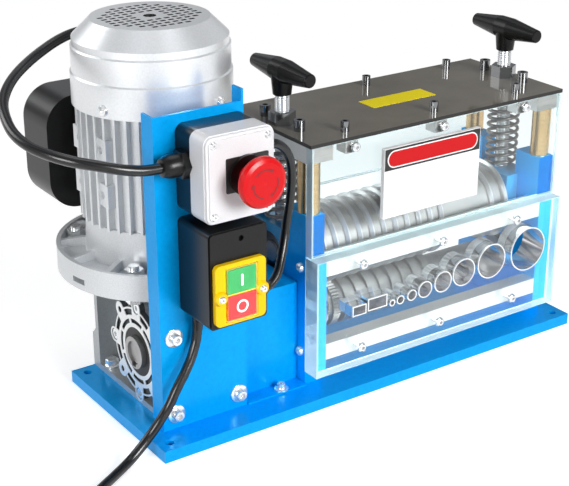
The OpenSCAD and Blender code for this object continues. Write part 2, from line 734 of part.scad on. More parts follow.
// Motor shaft, from the worm inside the gearbox up to the fan
shaft_above = 34;
module motor_shaft() color("#9a9c9e")
    pole_z(worm_bore_z + bore_gap, cowl_z + shaft_above, drive_x, motor_y, motor_shaft_r);

// Cooling fan on the motor shaft
fan_rise = 10;
fan_z = cowl_z + fan_rise;
fan_h = 24;
fan_hub_r = 15;
fan_disc_t = 3;
fan_blade_t = 2.5;
fan_blades = 8;
module cooling_fan() color("#26282a") difference() {
    union() {
        pole_z(fan_z, fan_z + fan_h, drive_x, motor_y, fan_hub_r);
        pole_z(fan_z, fan_z + fan_disc_t, drive_x, motor_y, fan_r);
        translate([drive_x, motor_y, 0]) for (i = [0 : fan_blades - 1]) rotate(i * 360 / fan_blades)
            block([fan_hub_r - over, -fan_blade_t / 2, fan_z], [fan_r, fan_blade_t / 2, fan_z + fan_h]);
    }
    pole_z(fan_z - over, fan_z + fan_h + over, drive_x, motor_y, motor_shaft_r);
}

// Fan cowl: spun sheet with two steps and a punched grille
step_1 = 24;
step_2 = 44;
step_3 = 50.4;
step_in = 1.2;
grille_r = 38;
grille_pitch_x = 7;
grille_pitch_y = 6.6;
grille_slot = [4.6, 3.2];
grille_hole_r = 5;
grille_rows = 5;
cowl_screw_up = 6;
cowl_screw_z = cowl_z + cowl_screw_up;
cowl_screw_r = 2;
cowl_screw_turn = [205, 295, 25, 115];
function cowl_outline(d) = [[cowl_r - d, 0], [cowl_r - d, step_1], [cowl_r - step_in - d, step_1 + step_in],
    [cowl_r - step_in - d, step_2], [cowl_r - 2 * step_in - d, step_2 + step_in],
        [cowl_r - 2 * step_in - d, step_3]];
module fan_cowl() color("#bfc2c4") difference() {
    translate([drive_x, motor_y, cowl_z]) rotate_extrude() difference() {
        polygon(concat(cowl_outline(0), [[cowl_top_r, cowl_h], [0, cowl_h], [0, 0]]));
        polygon(concat([[0, -over], [cowl_r - cowl_t, -over]], cowl_outline(cowl_t),
            [[cowl_top_r - cowl_t, cowl_h - cowl_t], [0, cowl_h - cowl_t]]));
    }
    translate([drive_x, motor_y, cowl_top - cowl_t - over]) linear_extrude(height = cowl_t + 2 * over) {
        circle(grille_hole_r);
        for (i = [-grille_rows : grille_rows], j = [-grille_rows : grille_rows])
            if (norm([i * grille_pitch_x, j * grille_pitch_y]) < grille_r && (abs(i) > 1 || abs(j) > 1))
                translate([i * grille_pitch_x, j * grille_pitch_y]) square(grille_slot, center = true);
    }
    for (a = cowl_screw_turn) translate([drive_x, motor_y, 0]) rotate(a)
        pole_x(cowl_r - 2 * cowl_t, cowl_r + over, 0, cowl_screw_z, cowl_screw_r + fit);
}

// Fasteners of the motor: flange bolts with nuts, cowl screws and output cover screws
bolt_flats = 13;
bolt_head_h = 5.5;
washer_r = 8.5;
washer_t = 1.6;
cowl_head_r = 4.5;
cowl_head_h = 3;
bolt_end = 3;
cover_head_in = 0.6;
module motor_fasteners() color("#c7ccca") {
    for (i = [0 : 3]) translate([drive_x + flange_pitch_r * cos(flange_bolt_turn + 90 * i),
            motor_y + flange_pitch_r * sin(flange_bolt_turn + 90 * i), 0]) {
        pole_z(clamp_z + floor_t, clamp_z + floor_t + washer_t, 0, 0, washer_r);
        slab_z(clamp_z + floor_t + washer_t, clamp_z + floor_t + washer_t + bolt_head_h)
            hexagon(bolt_flats);
        pole_z(flange_z - bolt_head_h, clamp_z + floor_t + washer_t + bolt_head_h + bolt_end, 0, 0,
            flange_bolt_r);
        slab_z(flange_z - bolt_head_h, flange_z) hexagon(bolt_flats);
    }
    for (a = cowl_screw_turn) translate([drive_x, motor_y, cowl_screw_z]) rotate(a) {
        pole_x(fin_r + slack, cowl_r + cowl_head_h / 2, 0, 0, cowl_screw_r);
        turned_x(0, 0) polygon([[0, cowl_r], [cowl_head_r, cowl_r], [cowl_head_r * 0.8,
            cowl_r + cowl_head_h * 0.7], [0, cowl_r + cowl_head_h]]);
    }
    for (a = [0 : 90 : 359]) translate([0, axis_y + cover_pitch_r * cos(a),
        axis_z + cover_pitch_r * sin(a)]) difference() {
        union() {
            pole_x(cover_x + cover_head_in, cover_x + pocket_deep, 0, 0, pocket_r - cover_head_in);
            pole_x(cover_x + pocket_deep, cover_end + cover_screw_deep, 0, 0, cover_screw_r);
        }
        translate([cover_x, 0, 0]) rotate([0, 90, 0]) cylinder(h = pocket_deep * 0.8,
            r = pocket_r * 0.45, $fn = 6);
    }
}

// Capacitor box on the back of the motor, with a saddle that fits the fins
cap_shift = 5;
cap_sink = 4;
cap_drop = 8;
cap_x = drive_x - cap_l / 2 - cap_shift;
cap_y = motor_y + fin_r - cap_sink;
cap_z = fins_z - cap_drop;
module cap_outline() round_rect([cap_x, cap_z], [cap_l, cap_h], cap_corner_r);
module capacitor_box() color("#1b1b1c") difference() {
    slab_y(cap_y, cap_y + cap_w) cap_outline();
    pole_z(cap_z - over, cap_z + cap_h + over, drive_x, motor_y, cowl_r + slack);
}
module capacitor_lid() color("#232324") slab_y(cap_y + cap_w, cap_y + cap_w + cap_lid_t) cap_outline();

// Control bracket: folded sheet bolted to the front of the gearbox
bracket_y = plate_y - bracket_t;
bracket_top = base_t + bracket_h;
bracket_bolt_r = 3;
bracket_bolt_deep = 7;
bracket_bolt_left = 11;
bracket_bolt_right = 8;
bracket_bolt_low = 13;
bracket_bolt_high = 78;
bracket_bolts = [[bracket_x + bracket_bolt_left, base_t + bracket_bolt_low],
    [bracket_x + bracket_l - bracket_bolt_right, base_t + bracket_bolt_low],
        [bracket_x + bracket_bolt_left, base_t + bracket_bolt_high]];
notch_h = 9;
notch_back = 5;
module control_bracket() color("#0d7fe0") difference() {
    union() {
        block([bracket_x, bracket_y, base_t], [bracket_x + bracket_l, plate_y, bracket_top]);
        block([bracket_x, bracket_y, base_t], [bracket_x + bracket_t, bracket_y + bracket_left_w,
            bracket_top]);
        block([bracket_x + bracket_l - bracket_t, bracket_y, base_t], [bracket_x + bracket_l,
            bracket_y + bracket_right_w, bracket_top + notch_h]);
    }
    for (p = bracket_bolts) pole_y(bracket_y - over, plate_y + over, p[0], p[1], bracket_bolt_r + fit);
    block([bracket_x - over, plate_y + notch_back, base_t - over], [bracket_x + bracket_t + over,
        bracket_y + bracket_left_w + over, base_t + foot_t + slack]);
    block([bracket_x + bracket_l - bracket_t - over, plate_y, base_t - over],
        [bracket_x + bracket_l + over, bracket_y + bracket_right_w + over, flange_z]);
}

// Gear cover: folded sheet box around the coupling between gearbox and cutter head
gear_cover_dy = 40;
gear_cover_x = foot_cut_x + shoulder_gap;
gear_cover_y = axis_y - gear_cover_dy;
gear_back_y = 2 * axis_y - gear_cover_y;
gear_flange_w = 14;
cover_bolt_r = 2.5;
cover_bolt_deep = 6;
cover_bolt_in = 22;
cover_bolt_out = 9;
cover_bolts = [[head_x - cover_bolt_in, gear_cover_y - cover_bolt_out], [head_x - cover_bolt_in,
    gear_back_y + cover_bolt_out]];
module gear_cover() color("#0c78d8") difference() {
    union() {
        difference() {
            block([gear_cover_x, gear_cover_y, base_t], [head_x - slack, gear_back_y,
                base_t + gear_cover_h]);
            block([gear_cover_x - over, gear_cover_y + gear_cover_t, base_t - over],
                [head_x, gear_back_y - gear_cover_t, base_t + gear_cover_h - gear_cover_t]);
        }
        block([gear_cover_x, gear_cover_y - gear_flange_w, base_t], [head_x - slack,
            gear_cover_y + gear_cover_t, base_t + gear_cover_t]);
        block([housing_end + slack, gear_back_y - gear_cover_t, base_t], [head_x - slack,
            gear_back_y + gear_flange_w, base_t + gear_cover_t]);
    }
    for (p = cover_bolts) pole_z(base_t - over, base_t + gear_cover_t + over, p[0], p[1],
        cover_bolt_r + fit);
}

// Bolts that hold the gearbox, the bracket and the gear cover
small_bolt_flats = 10;
small_bolt_h = 4.5;
foot_washer_r = 6.3;
bracket_head_h = 6;
bracket_head_r = 5;
bracket_socket_in = 2.5;
module chassis_bolts() color("#c5cacb") {
    for (p = foot_bolts) {
        pole_z(base_t + foot_t, base_t + foot_t + washer_t, p[0], p[1], foot_washer_r);
        translate([p[0], p[1], 0]) slab_z(base_t + foot_t + washer_t,
            base_t + foot_t + washer_t + bolt_head_h) hexagon(small_bolt_flats);
        pole_z(base_t - foot_bolt_deep, base_t + foot_t + washer_t, p[0], p[1], foot_bolt_r);
    }
    for (p = cover_bolts) {
        pole_z(base_t + gear_cover_t, base_t + gear_cover_t + small_bolt_h, p[0], p[1],
            small_bolt_flats / 2);
        pole_z(base_t - cover_bolt_deep, base_t + gear_cover_t, p[0], p[1], cover_bolt_r);
    }
    for (p = bracket_bolts) difference() {
        union() {
            pole_y(bracket_y - washer_t, bracket_y, p[0], p[1], washer_r);
            pole_y(bracket_y - washer_t - bracket_head_h, bracket_y - washer_t, p[0], p[1], bracket_head_r);
            pole_y(bracket_y, plate_y + bracket_bolt_deep, p[0], p[1], bracket_bolt_r);
        }
        translate([p[0], bracket_y - washer_t - bracket_socket_in, p[1]]) rotate([90, 0, 0])
            cylinder(h = bracket_head_h, r = cap_head_r * socket_r_share, $fn = 6);
    }
}

// Feed roller and shaft in one turned piece, with knurled rings on the left
side_gap = 2;
feed_from = left_in_x + side_gap;
feed_to = right_in_x - side_gap;
shaft_from = drive_x - hollow_l / 2 + side_gap;
knurl_teeth = 44;
knurl_deep = 1.1;
knurled_rings = 3;
ring_count = 11;
ring_side = 0.7;
ring_w = blade_pitch - blade_t - 2 * ring_side;
ring_x = [for (i = [0 : ring_count - 1]) cut_from - ring_side - ring_w + i * blade_pitch];
thin_r = 14;
module knurl_outline() polygon([for (i = [0 : 2 * knurl_teeth - 1]) let (a = i * 180 / knurl_teeth,
    r = feed_r - (i % 2) * knurl_deep) [r * cos(a), r * sin(a)]]);
module feed_roller() color("#a8a5a1") {
    difference() {
        union() {
            pole_x(shaft_from, left_in_x, axis_y, axis_z, hollow_bore_r - fit);
            pole_x(head_x, feed_from, axis_y, axis_z, journal_r);
            pole_x(feed_from, feed_to, axis_y, axis_z, thin_r);
            pole_x(ring_x[0], ring_x[ring_count - 1] + ring_w, axis_y, axis_z, feed_r - feed_groove);
            pole_x(feed_to, head_end - side_gap, axis_y, axis_z, journal_r);
            for (i = [0 : knurled_rings - 1]) translate([0, axis_y, axis_z]) slab_x(ring_x[i],
                ring_x[i] + ring_w) knurl_outline();
            for (i = [knurled_rings : ring_count - 1]) pole_x(ring_x[i], ring_x[i] + ring_w, axis_y,
                axis_z, feed_r);
        }
        difference() {
            pole_x(head_x - over, left_in_x, axis_y, axis_z, hollow_bore_r + over);
            pole_x(head_x - 2 * over, left_in_x + over, axis_y, axis_z, journal_r);
        }
    }
}

// Cutter shaft with its two journals and shoulders
cut_core_r = 12.5;
module cutter_shaft() color("#9d9a97") {
    pole_x(cut_from, cut_to, axis_y, cutter_z, cut_core_r);
    pole_x(head_x + side_gap / 2, cut_from, axis_y, cutter_z, journal_r);
    pole_x(cut_to, head_end - side_gap / 2, axis_y, cutter_z, journal_r);
}

// Blades: a row of round cutters with bevelled edges, the last one larger
blade_count = 11;
blade_x = [for (i = [0 : blade_count - 1]) cut_from + i * blade_pitch];
last_in = [22, 7];
last_over_r = 1.5;
last_x = [cut_to - last_in[0], cut_to - last_in[1]];
last_r = [blade_r, blade_r + last_over_r];
bevel = 2.5;
edge_half = 0.5;
module blade(x, r) turned_x(axis_y, cutter_z) polygon([[cut_core_r + fit, x], [r - bevel, x], [r,
    x + blade_t / 2 - edge_half],
    [r, x + blade_t / 2 + edge_half], [r - bevel, x + blade_t], [cut_core_r + fit, x + blade_t]]);
module cutter_blades() color("#dcdcdb") {
    for (x = blade_x) blade(x, blade_r);
    for (i = [0, 1]) blade(last_x[i], last_r[i]);
}

// Spacers that set the blades apart
module spacer(from, to, r) turned_x(axis_y, cutter_z) polygon([[cut_core_r + fit, from], [r, from], [r,
    to], [cut_core_r + fit, to]]);
module blade_spacers() color("#8e8b88") {
    for (i = [0 : blade_count - 2]) spacer(blade_x[i] + blade_t + fit, blade_x[i + 1] - fit, spacer_r);
    spacer(blade_x[blade_count - 1] + blade_t + fit, last_x[0] - fit, spacer_r);
    spacer(last_x[0] + blade_t + fit, last_x[1] - fit, spacer_r);
    spacer(last_x[1] + blade_t + fit, cut_to, spacer_r);
}

// Bearing blocks that slide in the end frames and carry the cutter shaft
upper_block_h = 55;
block_bottom = slot_bottom + slack;
block_top = block_bottom + upper_block_h;
lip = 4;
rod_socket = 7.5;
module bearing_block(side) {
    frame_x = side > 0 ? right_in_x : head_x;
    inner_x = side > 0 ? right_in_x : left_in_x;
    difference() {
        union() {
            block([frame_x, axis_y - slot_w / 2 + slack, block_bottom], [frame_x + frame_t,
                axis_y + slot_w / 2 - slack, block_top]);
            if (side > 0) block([inner_x - seat_reach, axis_y - slot_w / 2 - lip, block_bottom],
                [inner_x - slack, axis_y + slot_w / 2 + lip, block_top]);
            else block([inner_x + slack, axis_y - slot_w / 2 - lip, block_bottom], [inner_x + seat_reach,
                axis_y + slot_w / 2 + lip, block_top]);
            block([inner_x - over, axis_y - slot_w / 2 + slack, block_bottom], [inner_x + over,
                axis_y + slot_w / 2 - slack, block_top]);
        }
        pole_x(frame_x - over, frame_x + frame_t + over, axis_y, cutter_z, bearing_r + fit);
        pole_x(head_x, head_end, axis_y, cutter_z, journal_r + side_gap);
        pole_z(block_top - rod_socket, block_top + over, side > 0 ? rod_x[1] : rod_x[0], axis_y,
            rod_r + slack);
    }
}
module bearing_blocks() color("#3f7f96") {
    bearing_block(-1);
    bearing_block(1);
}

// Ball bearings as solid rings
module bearing(x, z, from_r, to_r) difference() {
    pole_x(x, x + bearing_w, axis_y, z, to_r);
    pole_x(x - over, x + bearing_w + over, axis_y, z, from_r);
}
bearing_in = 2.75;
module upper_bearings() color("#7f8284") {
    bearing(head_x + bearing_in, cutter_z, journal_r + fit, bearing_r);
    bearing(right_in_x + bearing_in, cutter_z, journal_r + fit, bearing_r);
}
module lower_bearings() color("#7f8284") {
    bearing(head_x + bearing_in, axis_z, journal_r + fit, bearing_r);
    bearing(right_in_x + bearing_in, axis_z, journal_r + fit, bearing_r);
}

// Tube swept along points, each ring square to the path and carried on without twist
function tangents(p) = [for (i = [0 : len(p) - 1]) unit(p[min(i + 1, len(p) - 1)] - p[max(i - 1, 0)])];
function square_to(v, t) = unit(v - t * (v * t));
function carried(t, first) = [for (i = 0, u = square_to(first, t[0]); i < len(t); i = i + 1,
    u = i < len(t) ? square_to(u, t[i]) : u) u];
module swept(p, r, sides, first) {
    t = tangents(p);
    u = carried(t, first);
    n = len(p);
    rings = [for (i = [0 : n - 1], k = [0 : sides - 1])
        p[i] + r * cos(360 * k / sides) * u[i] + r * sin(360 * k / sides) * cross(t[i], u[i])];
    walls = [for (i = [0 : n - 2], k = [0 : sides - 1]) let (a = i * sides + k,
        b = i * sides + (k + 1) % sides)
        each [[a, a + sides, b], [b, a + sides, b + sides]]];
    polyhedron(concat(rings, [p[0], p[n - 1]]), concat(walls,
        [for (k = [0 : sides - 1]) [n * sides, k, (k + 1) % sides]],
        [for (k = [0 : sides - 1]) [n * sides + 1, (n - 1) * sides + (k + 1) % sides,
            (n - 1) * sides + k]]));
}

// Least distance between parts of a path that lie further apart along it than a few steps
function self_gap(p, skip) = min([for (i = [0 : len(p) - 1], j = [i + skip : 1 : len(p) - 1])
    norm(p[i] - p[j])]);
function path_length(p, i = 0) = i >= len(p) - 1 ? 0 : norm(p[i + 1] - p[i]) + path_length(p, i + 1);

// Springs around the handle rods, between the bearing blocks and the top bars
spring_rings = 8;
spring_low = block_top + wire_d / 2 + slack;
spring_high = bar_z - wire_d / 2 - slack;
function spring_path(x) = [for (i = [0 : spring_curls * spring_rings]) let (a = i * 360 / spring_rings)
    [x + spring_r * cos(a), axis_y + spring_r * sin(a),
        spring_low + (spring_high - spring_low) * i / (spring_curls * spring_rings)]];
echo("spring's least gap to itself", self_gap(spring_path(0), spring_rings / 2) - wire_d);
module springs() color("#57534f") {
    for (x = rod_x) swept(spring_path(x), wire_d / 2, 6, [1, 0, 0]);
}

// Threaded rods and T-handles that set the height of the cutter shaft
handle_z = sheet_top + handle_rise;
hub_drop = 19;
hub_r = 9;
hub_foot_r = 7.5;
hub_flat = 7;
handle_edge = 0.8;
rod_top_gap = 8;
rod_bottom = block_top - rod_socket + slack;
module handle_rod(x) pole_z(rod_bottom, handle_z - rod_top_gap, x, axis_y, rod_r);
module t_handle(x) difference() {
    union() {
        turned_y(x, handle_z) polygon([[0, axis_y - handle_l / 2], [handle_end_r - handle_edge,
            axis_y - handle_l / 2], [handle_end_r, axis_y - handle_l / 2 + handle_edge],
            [handle_r, axis_y - hub_flat], [handle_r, axis_y + hub_flat], [handle_end_r,
                axis_y + handle_l / 2 - handle_edge],
            [handle_end_r - handle_edge, axis_y + handle_l / 2], [0, axis_y + handle_l / 2]]);
        turned_z(x, axis_y) polygon([[0, handle_z - hub_drop], [hub_foot_r, handle_z - hub_drop], [hub_r,
            handle_z - handle_r / 2], [hub_r, handle_z], [0, handle_z]]);
    }
    pole_z(handle_z - hub_drop - over, handle_z - rod_top_gap + slack, x, axis_y, rod_r + fit);
}
module left_rod() color("#a9abac") handle_rod(rod_x[0]);
module right_rod() color("#a9abac") handle_rod(rod_x[1]);
module left_handle() color("#141414") t_handle(rod_x[0]);
module right_handle() color("#141414") t_handle(rod_x[1]);

// Stop box: black base, pale cover and the actuator of the mushroom head
box_in = 18;
stop_x = bracket_x + box_in;
stop_low = base_t + stop_z;
stop_top = stop_low + stop_h;
stop_mid_y = bracket_y - stop_base_w;
stop_y = stop_mid_y - stop_cover_w;
stop_wall = 3;
stop_corner = 7;
actuator_in = 33.5;
actuator_up = 0.5;
actuator_x = stop_x + actuator_in;
actuator_z = stop_low + stop_h / 2 + actuator_up;
barrel_r = 11;
stem_r = 8;
collar_r = 15;
collar_t = 3;
contact_w = 15;
module stop_outline(d) round_rect([stop_x + d, stop_low + d], [stop_l - 2 * d, stop_h - 2 * d],
    stop_corner - d);
module stop_base() color("#161617") difference() {
    slab_y(stop_mid_y, bracket_y) stop_outline(0);
    slab_y(stop_mid_y - over, bracket_y - stop_wall) stop_outline(stop_wall);
}
stop_edge = 3;
module stop_cover() color("#eef0f2") difference() {
    union() {
        slab_y(stop_y + stop_edge, stop_mid_y) stop_outline(0);
        slab_y(stop_y + stop_edge / 3, stop_mid_y) stop_outline(stop_edge / 3);
        slab_y(stop_y, stop_mid_y) stop_outline(stop_edge);
    }
    slab_y(stop_y + stop_wall, stop_mid_y + over) stop_outline(stop_wall);
    pole_y(stop_y - over, stop_mid_y, actuator_x, actuator_z, barrel_r + fit);
    for (p = stop_screws) pole_y(stop_y - over, stop_y + stop_wall + over, p[0], p[1], box_screw_r + fit);
}
stop_screw_inset = 6.5;
box_screw_r = 1.6;
stop_screws = [for (x = [stop_x + stop_screw_inset, stop_x + stop_l - stop_screw_inset],
    z = [stop_low + stop_screw_inset, stop_top - stop_screw_inset]) [x, z]];
module stop_actuator() color("#1a1a1b") difference() {
    union() {
        pole_y(stop_y - collar_t, stop_y, actuator_x, actuator_z, collar_r);
        pole_y(stop_y - collar_t, stop_mid_y, actuator_x, actuator_z, barrel_r);
        block([actuator_x - contact_w, stop_mid_y - over, actuator_z - contact_w],
            [actuator_x + contact_w, bracket_y - stop_wall, actuator_z + contact_w]);
    }
    pole_y(stop_y - collar_t - over, stop_mid_y, actuator_x, actuator_z, stem_r + fit);
}
stem_in = 9;
head_gap = 7;
head_lip = 2;
head_socket = 3;
crown = [0.4, 1.6, 4, 6.5];
head_back_y = stop_y - collar_t - head_gap;
head_front_y = head_back_y - mushroom_t;
module stop_stem() color("#8e1218") pole_y(head_back_y, stop_y + stem_in, actuator_x, actuator_z, stem_r);
module stop_head() color("#d8161f") difference() {
    turned_y(actuator_x, actuator_z) polygon([[0, head_front_y], [mushroom_r * 0.8,
        head_front_y + crown[0]], [mushroom_r * 0.94, head_front_y + crown[1]],
        [mushroom_r, head_front_y + crown[2]], [mushroom_r, head_front_y + crown[3]], [mushroom_r * 0.86,
            head_front_y + mushroom_t * 0.7],
        [stem_r + head_socket, head_back_y], [stem_r + head_socket, head_back_y + head_lip],
            [stem_r + fit, head_back_y + head_lip],
        [stem_r + fit, head_back_y - head_socket], [0, head_back_y - head_socket]]);
    pole_y(head_back_y - head_socket, head_back_y + head_socket, actuator_x, actuator_z, stem_r + fit);
}

// Switch box with its lid, bezel, two buttons and clear membrane
switch_x = bracket_x + box_in;
switch_low = base_t + switch_z;
switch_top = switch_low + switch_h;
switch_mid_y = bracket_y - switch_base_w;
lid_y = switch_mid_y - switch_lid_t;
switch_wall = 2.5;
switch_corner = 4;
module switch_outline(d) round_rect([switch_x + d, switch_low + d], [switch_l - 2 * d, switch_h - 2 * d],
    switch_corner - d);
module switch_box() color("#151516") difference() {
    slab_y(switch_mid_y, bracket_y) switch_outline(0);
    slab_y(switch_mid_y - over, bracket_y - switch_wall) switch_outline(switch_wall);
}
bezel_in = 2.5;
bezel_up = 4;
bezel_x = switch_x + bezel_in;
bezel_z = switch_low + bezel_up;
bezel_t = 4;
bezel_y = lid_y - bezel_t;
well_in = 9;
well_up = 3.5;
well_x = bezel_x + well_in;
well_l = 25;
well_z = bezel_z + well_up;
well_h = 41;
lid_hole_r = 2.2;
lid_hole_in = 27;
lid_hole_drop = 8;
lid_hole_deep = 3;
lid_edge = 1.5;
lid_step = 1;
well_gap = 2;
module switch_lid() color("#1a1a1b") difference() {
    union() {
        slab_y(lid_y + lid_edge, switch_mid_y) switch_outline(0);
        slab_y(lid_y, switch_mid_y) switch_outline(lid_step);
    }
    block([well_x - well_gap, lid_y - over, well_z - well_gap],
        [well_x + well_l + well_gap, switch_mid_y + over, well_z + well_h + well_gap]);
    pole_y(lid_y - over, lid_y + lid_hole_deep, switch_x + lid_hole_in, switch_top - lid_hole_drop,
        lid_hole_r);
    for (p = bezel_screws) pole_y(lid_y - over, lid_y + box_screw_deep, p[0], p[1], box_screw_r + fit);
}
box_screw_deep = 5;
bezel_screw_in = 3.8;
bezel_screw_drop = 1;
bezel_screws = [for (x = [bezel_x + bezel_screw_in, bezel_x + bezel_l - bezel_screw_in]) [x,
    bezel_z + bezel_h / 2 - bezel_screw_drop]];
lug_r = 3.4;
lug_h = 3;
bezel_body_w = 22;
bezel_wall = 1.5;
bezel_floor = 3;
bezel_corner = 4;
module switch_bezel() color("#f2b705") difference() {
    union() {
        slab_y(bezel_y, lid_y) round_rect([bezel_x, bezel_z], [bezel_l, bezel_h], bezel_corner);
        for (p = bezel_screws) pole_y(bezel_y - lug_h, bezel_y, p[0], p[1], lug_r);
        block([well_x - bezel_wall, lid_y - over, well_z - bezel_wall],
            [well_x + well_l + bezel_wall, lid_y + bezel_body_w, well_z + well_h + bezel_wall]);
    }
    for (i = [0, 1]) block([well_x, bezel_y - lug_h - over, button_low[i] - fit], [well_x + well_l,
        lid_y + bezel_body_w - bezel_floor, button_low[i] + button_h[i] + fit]);
    for (p = bezel_screws) pole_y(bezel_y - lug_h - over, lid_y + over, p[0], p[1], box_screw_r + fit);
}
button_h = [19, 19.5];
button_up = [0.5, 21];
button_low = [well_z + button_up[0], well_z + button_up[1]];
button_proud = 1.5;
button_l = 24;
button_deep = 13;
module push_button(i) {
    block([well_x + (well_l - button_l) / 2, bezel_y - button_proud, button_low[i] + slack],
        [well_x + (well_l + button_l) / 2, bezel_y + button_deep, button_low[i] + button_h[i] - slack]);
}
module start_button() color("#0c9a4c") push_button(1);
module stop_button() color("#d8232a") push_button(0);
membrane_t = 0.7;
skin_edge = 0.8;
module switch_membrane() color("#e8eef0", 0.3) difference() {
    block([well_x - skin_edge, bezel_y - button_proud - slack - membrane_t, well_z - skin_edge],
        [well_x + well_l + skin_edge, bezel_y, well_z + well_h + skin_edge]);
    block([well_x - skin_edge + membrane_t, bezel_y - button_proud - slack,
        well_z - skin_edge + membrane_t],
        [well_x + well_l + skin_edge - membrane_t, bezel_y + over,
            well_z + well_h + skin_edge - membrane_t]);
}

// Screws of the two boxes
box_head_r = 3;
box_head_h = 1.6;
module box_screw(y, x, z, deep) {
    difference() {
        turned_y(x, z) polygon([[0, y - box_head_h], [box_head_r * 0.7, y - box_head_h], [box_head_r, y],
            [0, y]]);
        translate([x, y - box_head_h - over, z]) rotate([-90, 0, 0])
            cylinder(h = over + box_head_h * 0.6, r = box_head_r * 0.35, $fn = 4);
    }
    pole_y(y, y + deep, x, z, box_screw_r);
}
module box_screws() color("#c8cccd") {
    for (p = stop_screws) box_screw(stop_y, p[0], p[1], stop_wall);
    for (p = bezel_screws) box_screw(bezel_y - lug_h, p[0], p[1], lug_h + bezel_t + box_screw_deep);
}

// Routes of the free cords, chosen by hand, counted from the base plate's left end and middle plane
motor_route = [
    [20, -64, 229], [10, -64, 229], [-2, -63.5, 230], [-16, -61, 233], [-31, -55, 237], [-45, -45, 240],
    [-56, -31, 243], [-63, -14, 246], [-65, 5, 250], [-62, 24, 255], [-56, 42, 260], [-46, 58, 265],
    [-33, 72, 270], [-17, 84, 275], [0, 95, 279], [18, 104, 283], [35, 111, 285], [52, 115, 285],
    [67, 117, 281], [79, 117, 272], [84.5, 117, 262], [85, 117, 253]];
link_route = [
    [102.5, -64, 229], [110, -64, 228.5], [118, -63, 223], [124, -61.5, 214], [127, -60, 202],
    [127.5, -59, 189], [126.5, -58, 175], [124, -58, 161], [120.5, -60, 148], [115, -64, 136],
    [108, -69, 126], [100, -71.5, 120], [94, -72, 119]];
power_route = [
    [45, -72, 96], [45, -71.5, 86], [44, -70, 74], [42, -68, 62], [38.5, -66.5, 51], [33, -65.5, 40.5],
    [25, -65, 31.5], [15, -65, 24.5], [4, -65.5, 19], [-8, -66.5, 13], [-20, -68.5, 8], [-32, -71.5, 4.8],
    [-44, -76.5, 3.8], [-55, -83, 3.75], [-66, -90.5, 3.75], [-77, -97, 3.75], [-90, -100.75, 3.75],
    [-98, -100.75, 3.75]];

// Cable glands, each a six-sided body and a domed nut
gland_r = 9;
gland_hex_h = 6;
gland_nut_h = 9;
module gland(cord_r) difference() {
    union() {
        linear_extrude(height = gland_hex_h) hexagon(2 * gland_r * 0.95);
        rotate_extrude() polygon([[0, 0], [gland_r * 0.9, 0], [gland_r * 0.9,
            gland_hex_h + gland_nut_h * 0.5], [gland_r * 0.7, gland_hex_h + gland_nut_h * 0.85],
            [gland_r * 0.62, gland_hex_h + gland_nut_h], [0, gland_hex_h + gland_nut_h]]);
    }
    translate([0, 0, gland_hex_h + gland_nut_h - gland_pocket]) cylinder(h = gland_pocket + over,
        r = cord_r + bore_gap);
}
gland_pocket = 3;
stop_gland_y = axis_y + motor_route[0][1];
stop_gland_z = motor_route[0][2];
cap_gland_x = motor_route[len(motor_route) - 1][0];
cap_gland_y = axis_y + motor_route[len(motor_route) - 1][1];
power_gland_x = power_route[0][0];
power_gland_y = axis_y + power_route[0][1];
link_gland_z = link_route[len(link_route) - 1][2];
module cable_glands() color("#131314") {
    translate([stop_x, stop_gland_y, stop_gland_z]) rotate([0, -90, 0]) gland(motor_lead_d / 2);
    translate([stop_x + stop_l, stop_gland_y, stop_gland_z]) rotate([0, 90, 0]) gland(link_lead_d / 2);
    translate([cap_gland_x, cap_gland_y, cap_z + cap_h]) gland(motor_lead_d / 2);
    translate([switch_x + switch_l, power_gland_y, link_gland_z]) rotate([0, 90, 0]) gland(link_lead_d / 2);
    translate([power_gland_x, power_gland_y, switch_low]) rotate([180, 0, 0]) gland(power_d / 2);
}

// Free cords along their routes
function catmull(a, b, c, d, t) = 0.5 * (2 * b + (c - a) * t + (2 * a - 5 * b + 4 * c - d) * t * t + (3 * b - a - 3 * c + d) * t * t * t);
function smooth(p) = concat([for (i = [0 : len(p) - 2], t = [0, 0.5])
    catmull(p[max(i - 1, 0)], p[i], p[i + 1], p[min(i + 2, len(p) - 1)], t)], [p[len(p) - 1]]);
module motor_lead() color("#171717") swept(smooth(motor_route), motor_lead_d / 2, 8, [0, 0, 1]);
module link_lead() color("#171717") swept(smooth(link_route), link_lead_d / 2, 8, [0, 1, 0]);
module power_cord() color("#171717") swept(smooth(power_route), power_d / 2, 8, [0, 1, 0]);

// Coil of the power cord's spare length: two layers, in along the floor and out on top
coil_gap = 0.6;
coil_step = power_d + coil_gap;
coil_rings = 24;
coil_layer_n = coil_turns * coil_rings;
coil_climb_n = coil_rings / 2;
coil_end = power_route[len(power_route) - 1];
coil_out_r = coil_in_r + coil_step * (coil_layer_n + coil_climb_n / 2) / coil_rings;
coil_x = coil_end[0] - power_d;
coil_y = coil_end[1] - coil_out_r;
coil_low = power_d / 2;
coil_high = coil_low + coil_step;
function coil_point(i) = let (a = 90 + i * 360 / coil_rings,
    r = coil_in_r + coil_step * abs(i - coil_layer_n - coil_climb_n / 2) / coil_rings,
    climbed = max(0, min(1, (i - coil_layer_n) / coil_climb_n)))
    [coil_x + r * cos(a), coil_y + r * sin(a), coil_low + coil_step * climbed];
coil_path = concat([coil_end, coil_end - [power_d * 0.6, 0, 0]],
    [for (i = [0 : 2 * coil_layer_n + coil_climb_n]) coil_point(i)]);
coil_last = coil_path[len(coil_path) - 1];
coil_turned = (2 * coil_layer_n + coil_climb_n) * 360 / coil_rings + 180;
plug_dir = [cos(coil_turned), sin(coil_turned), 0];
tail_steps = 4;
plug_at = coil_last + plug_dir * power_d * tail_steps;
coil_whole = concat(coil_path, [for (i = [1 : tail_steps]) coil_last + plug_dir * power_d * i]);
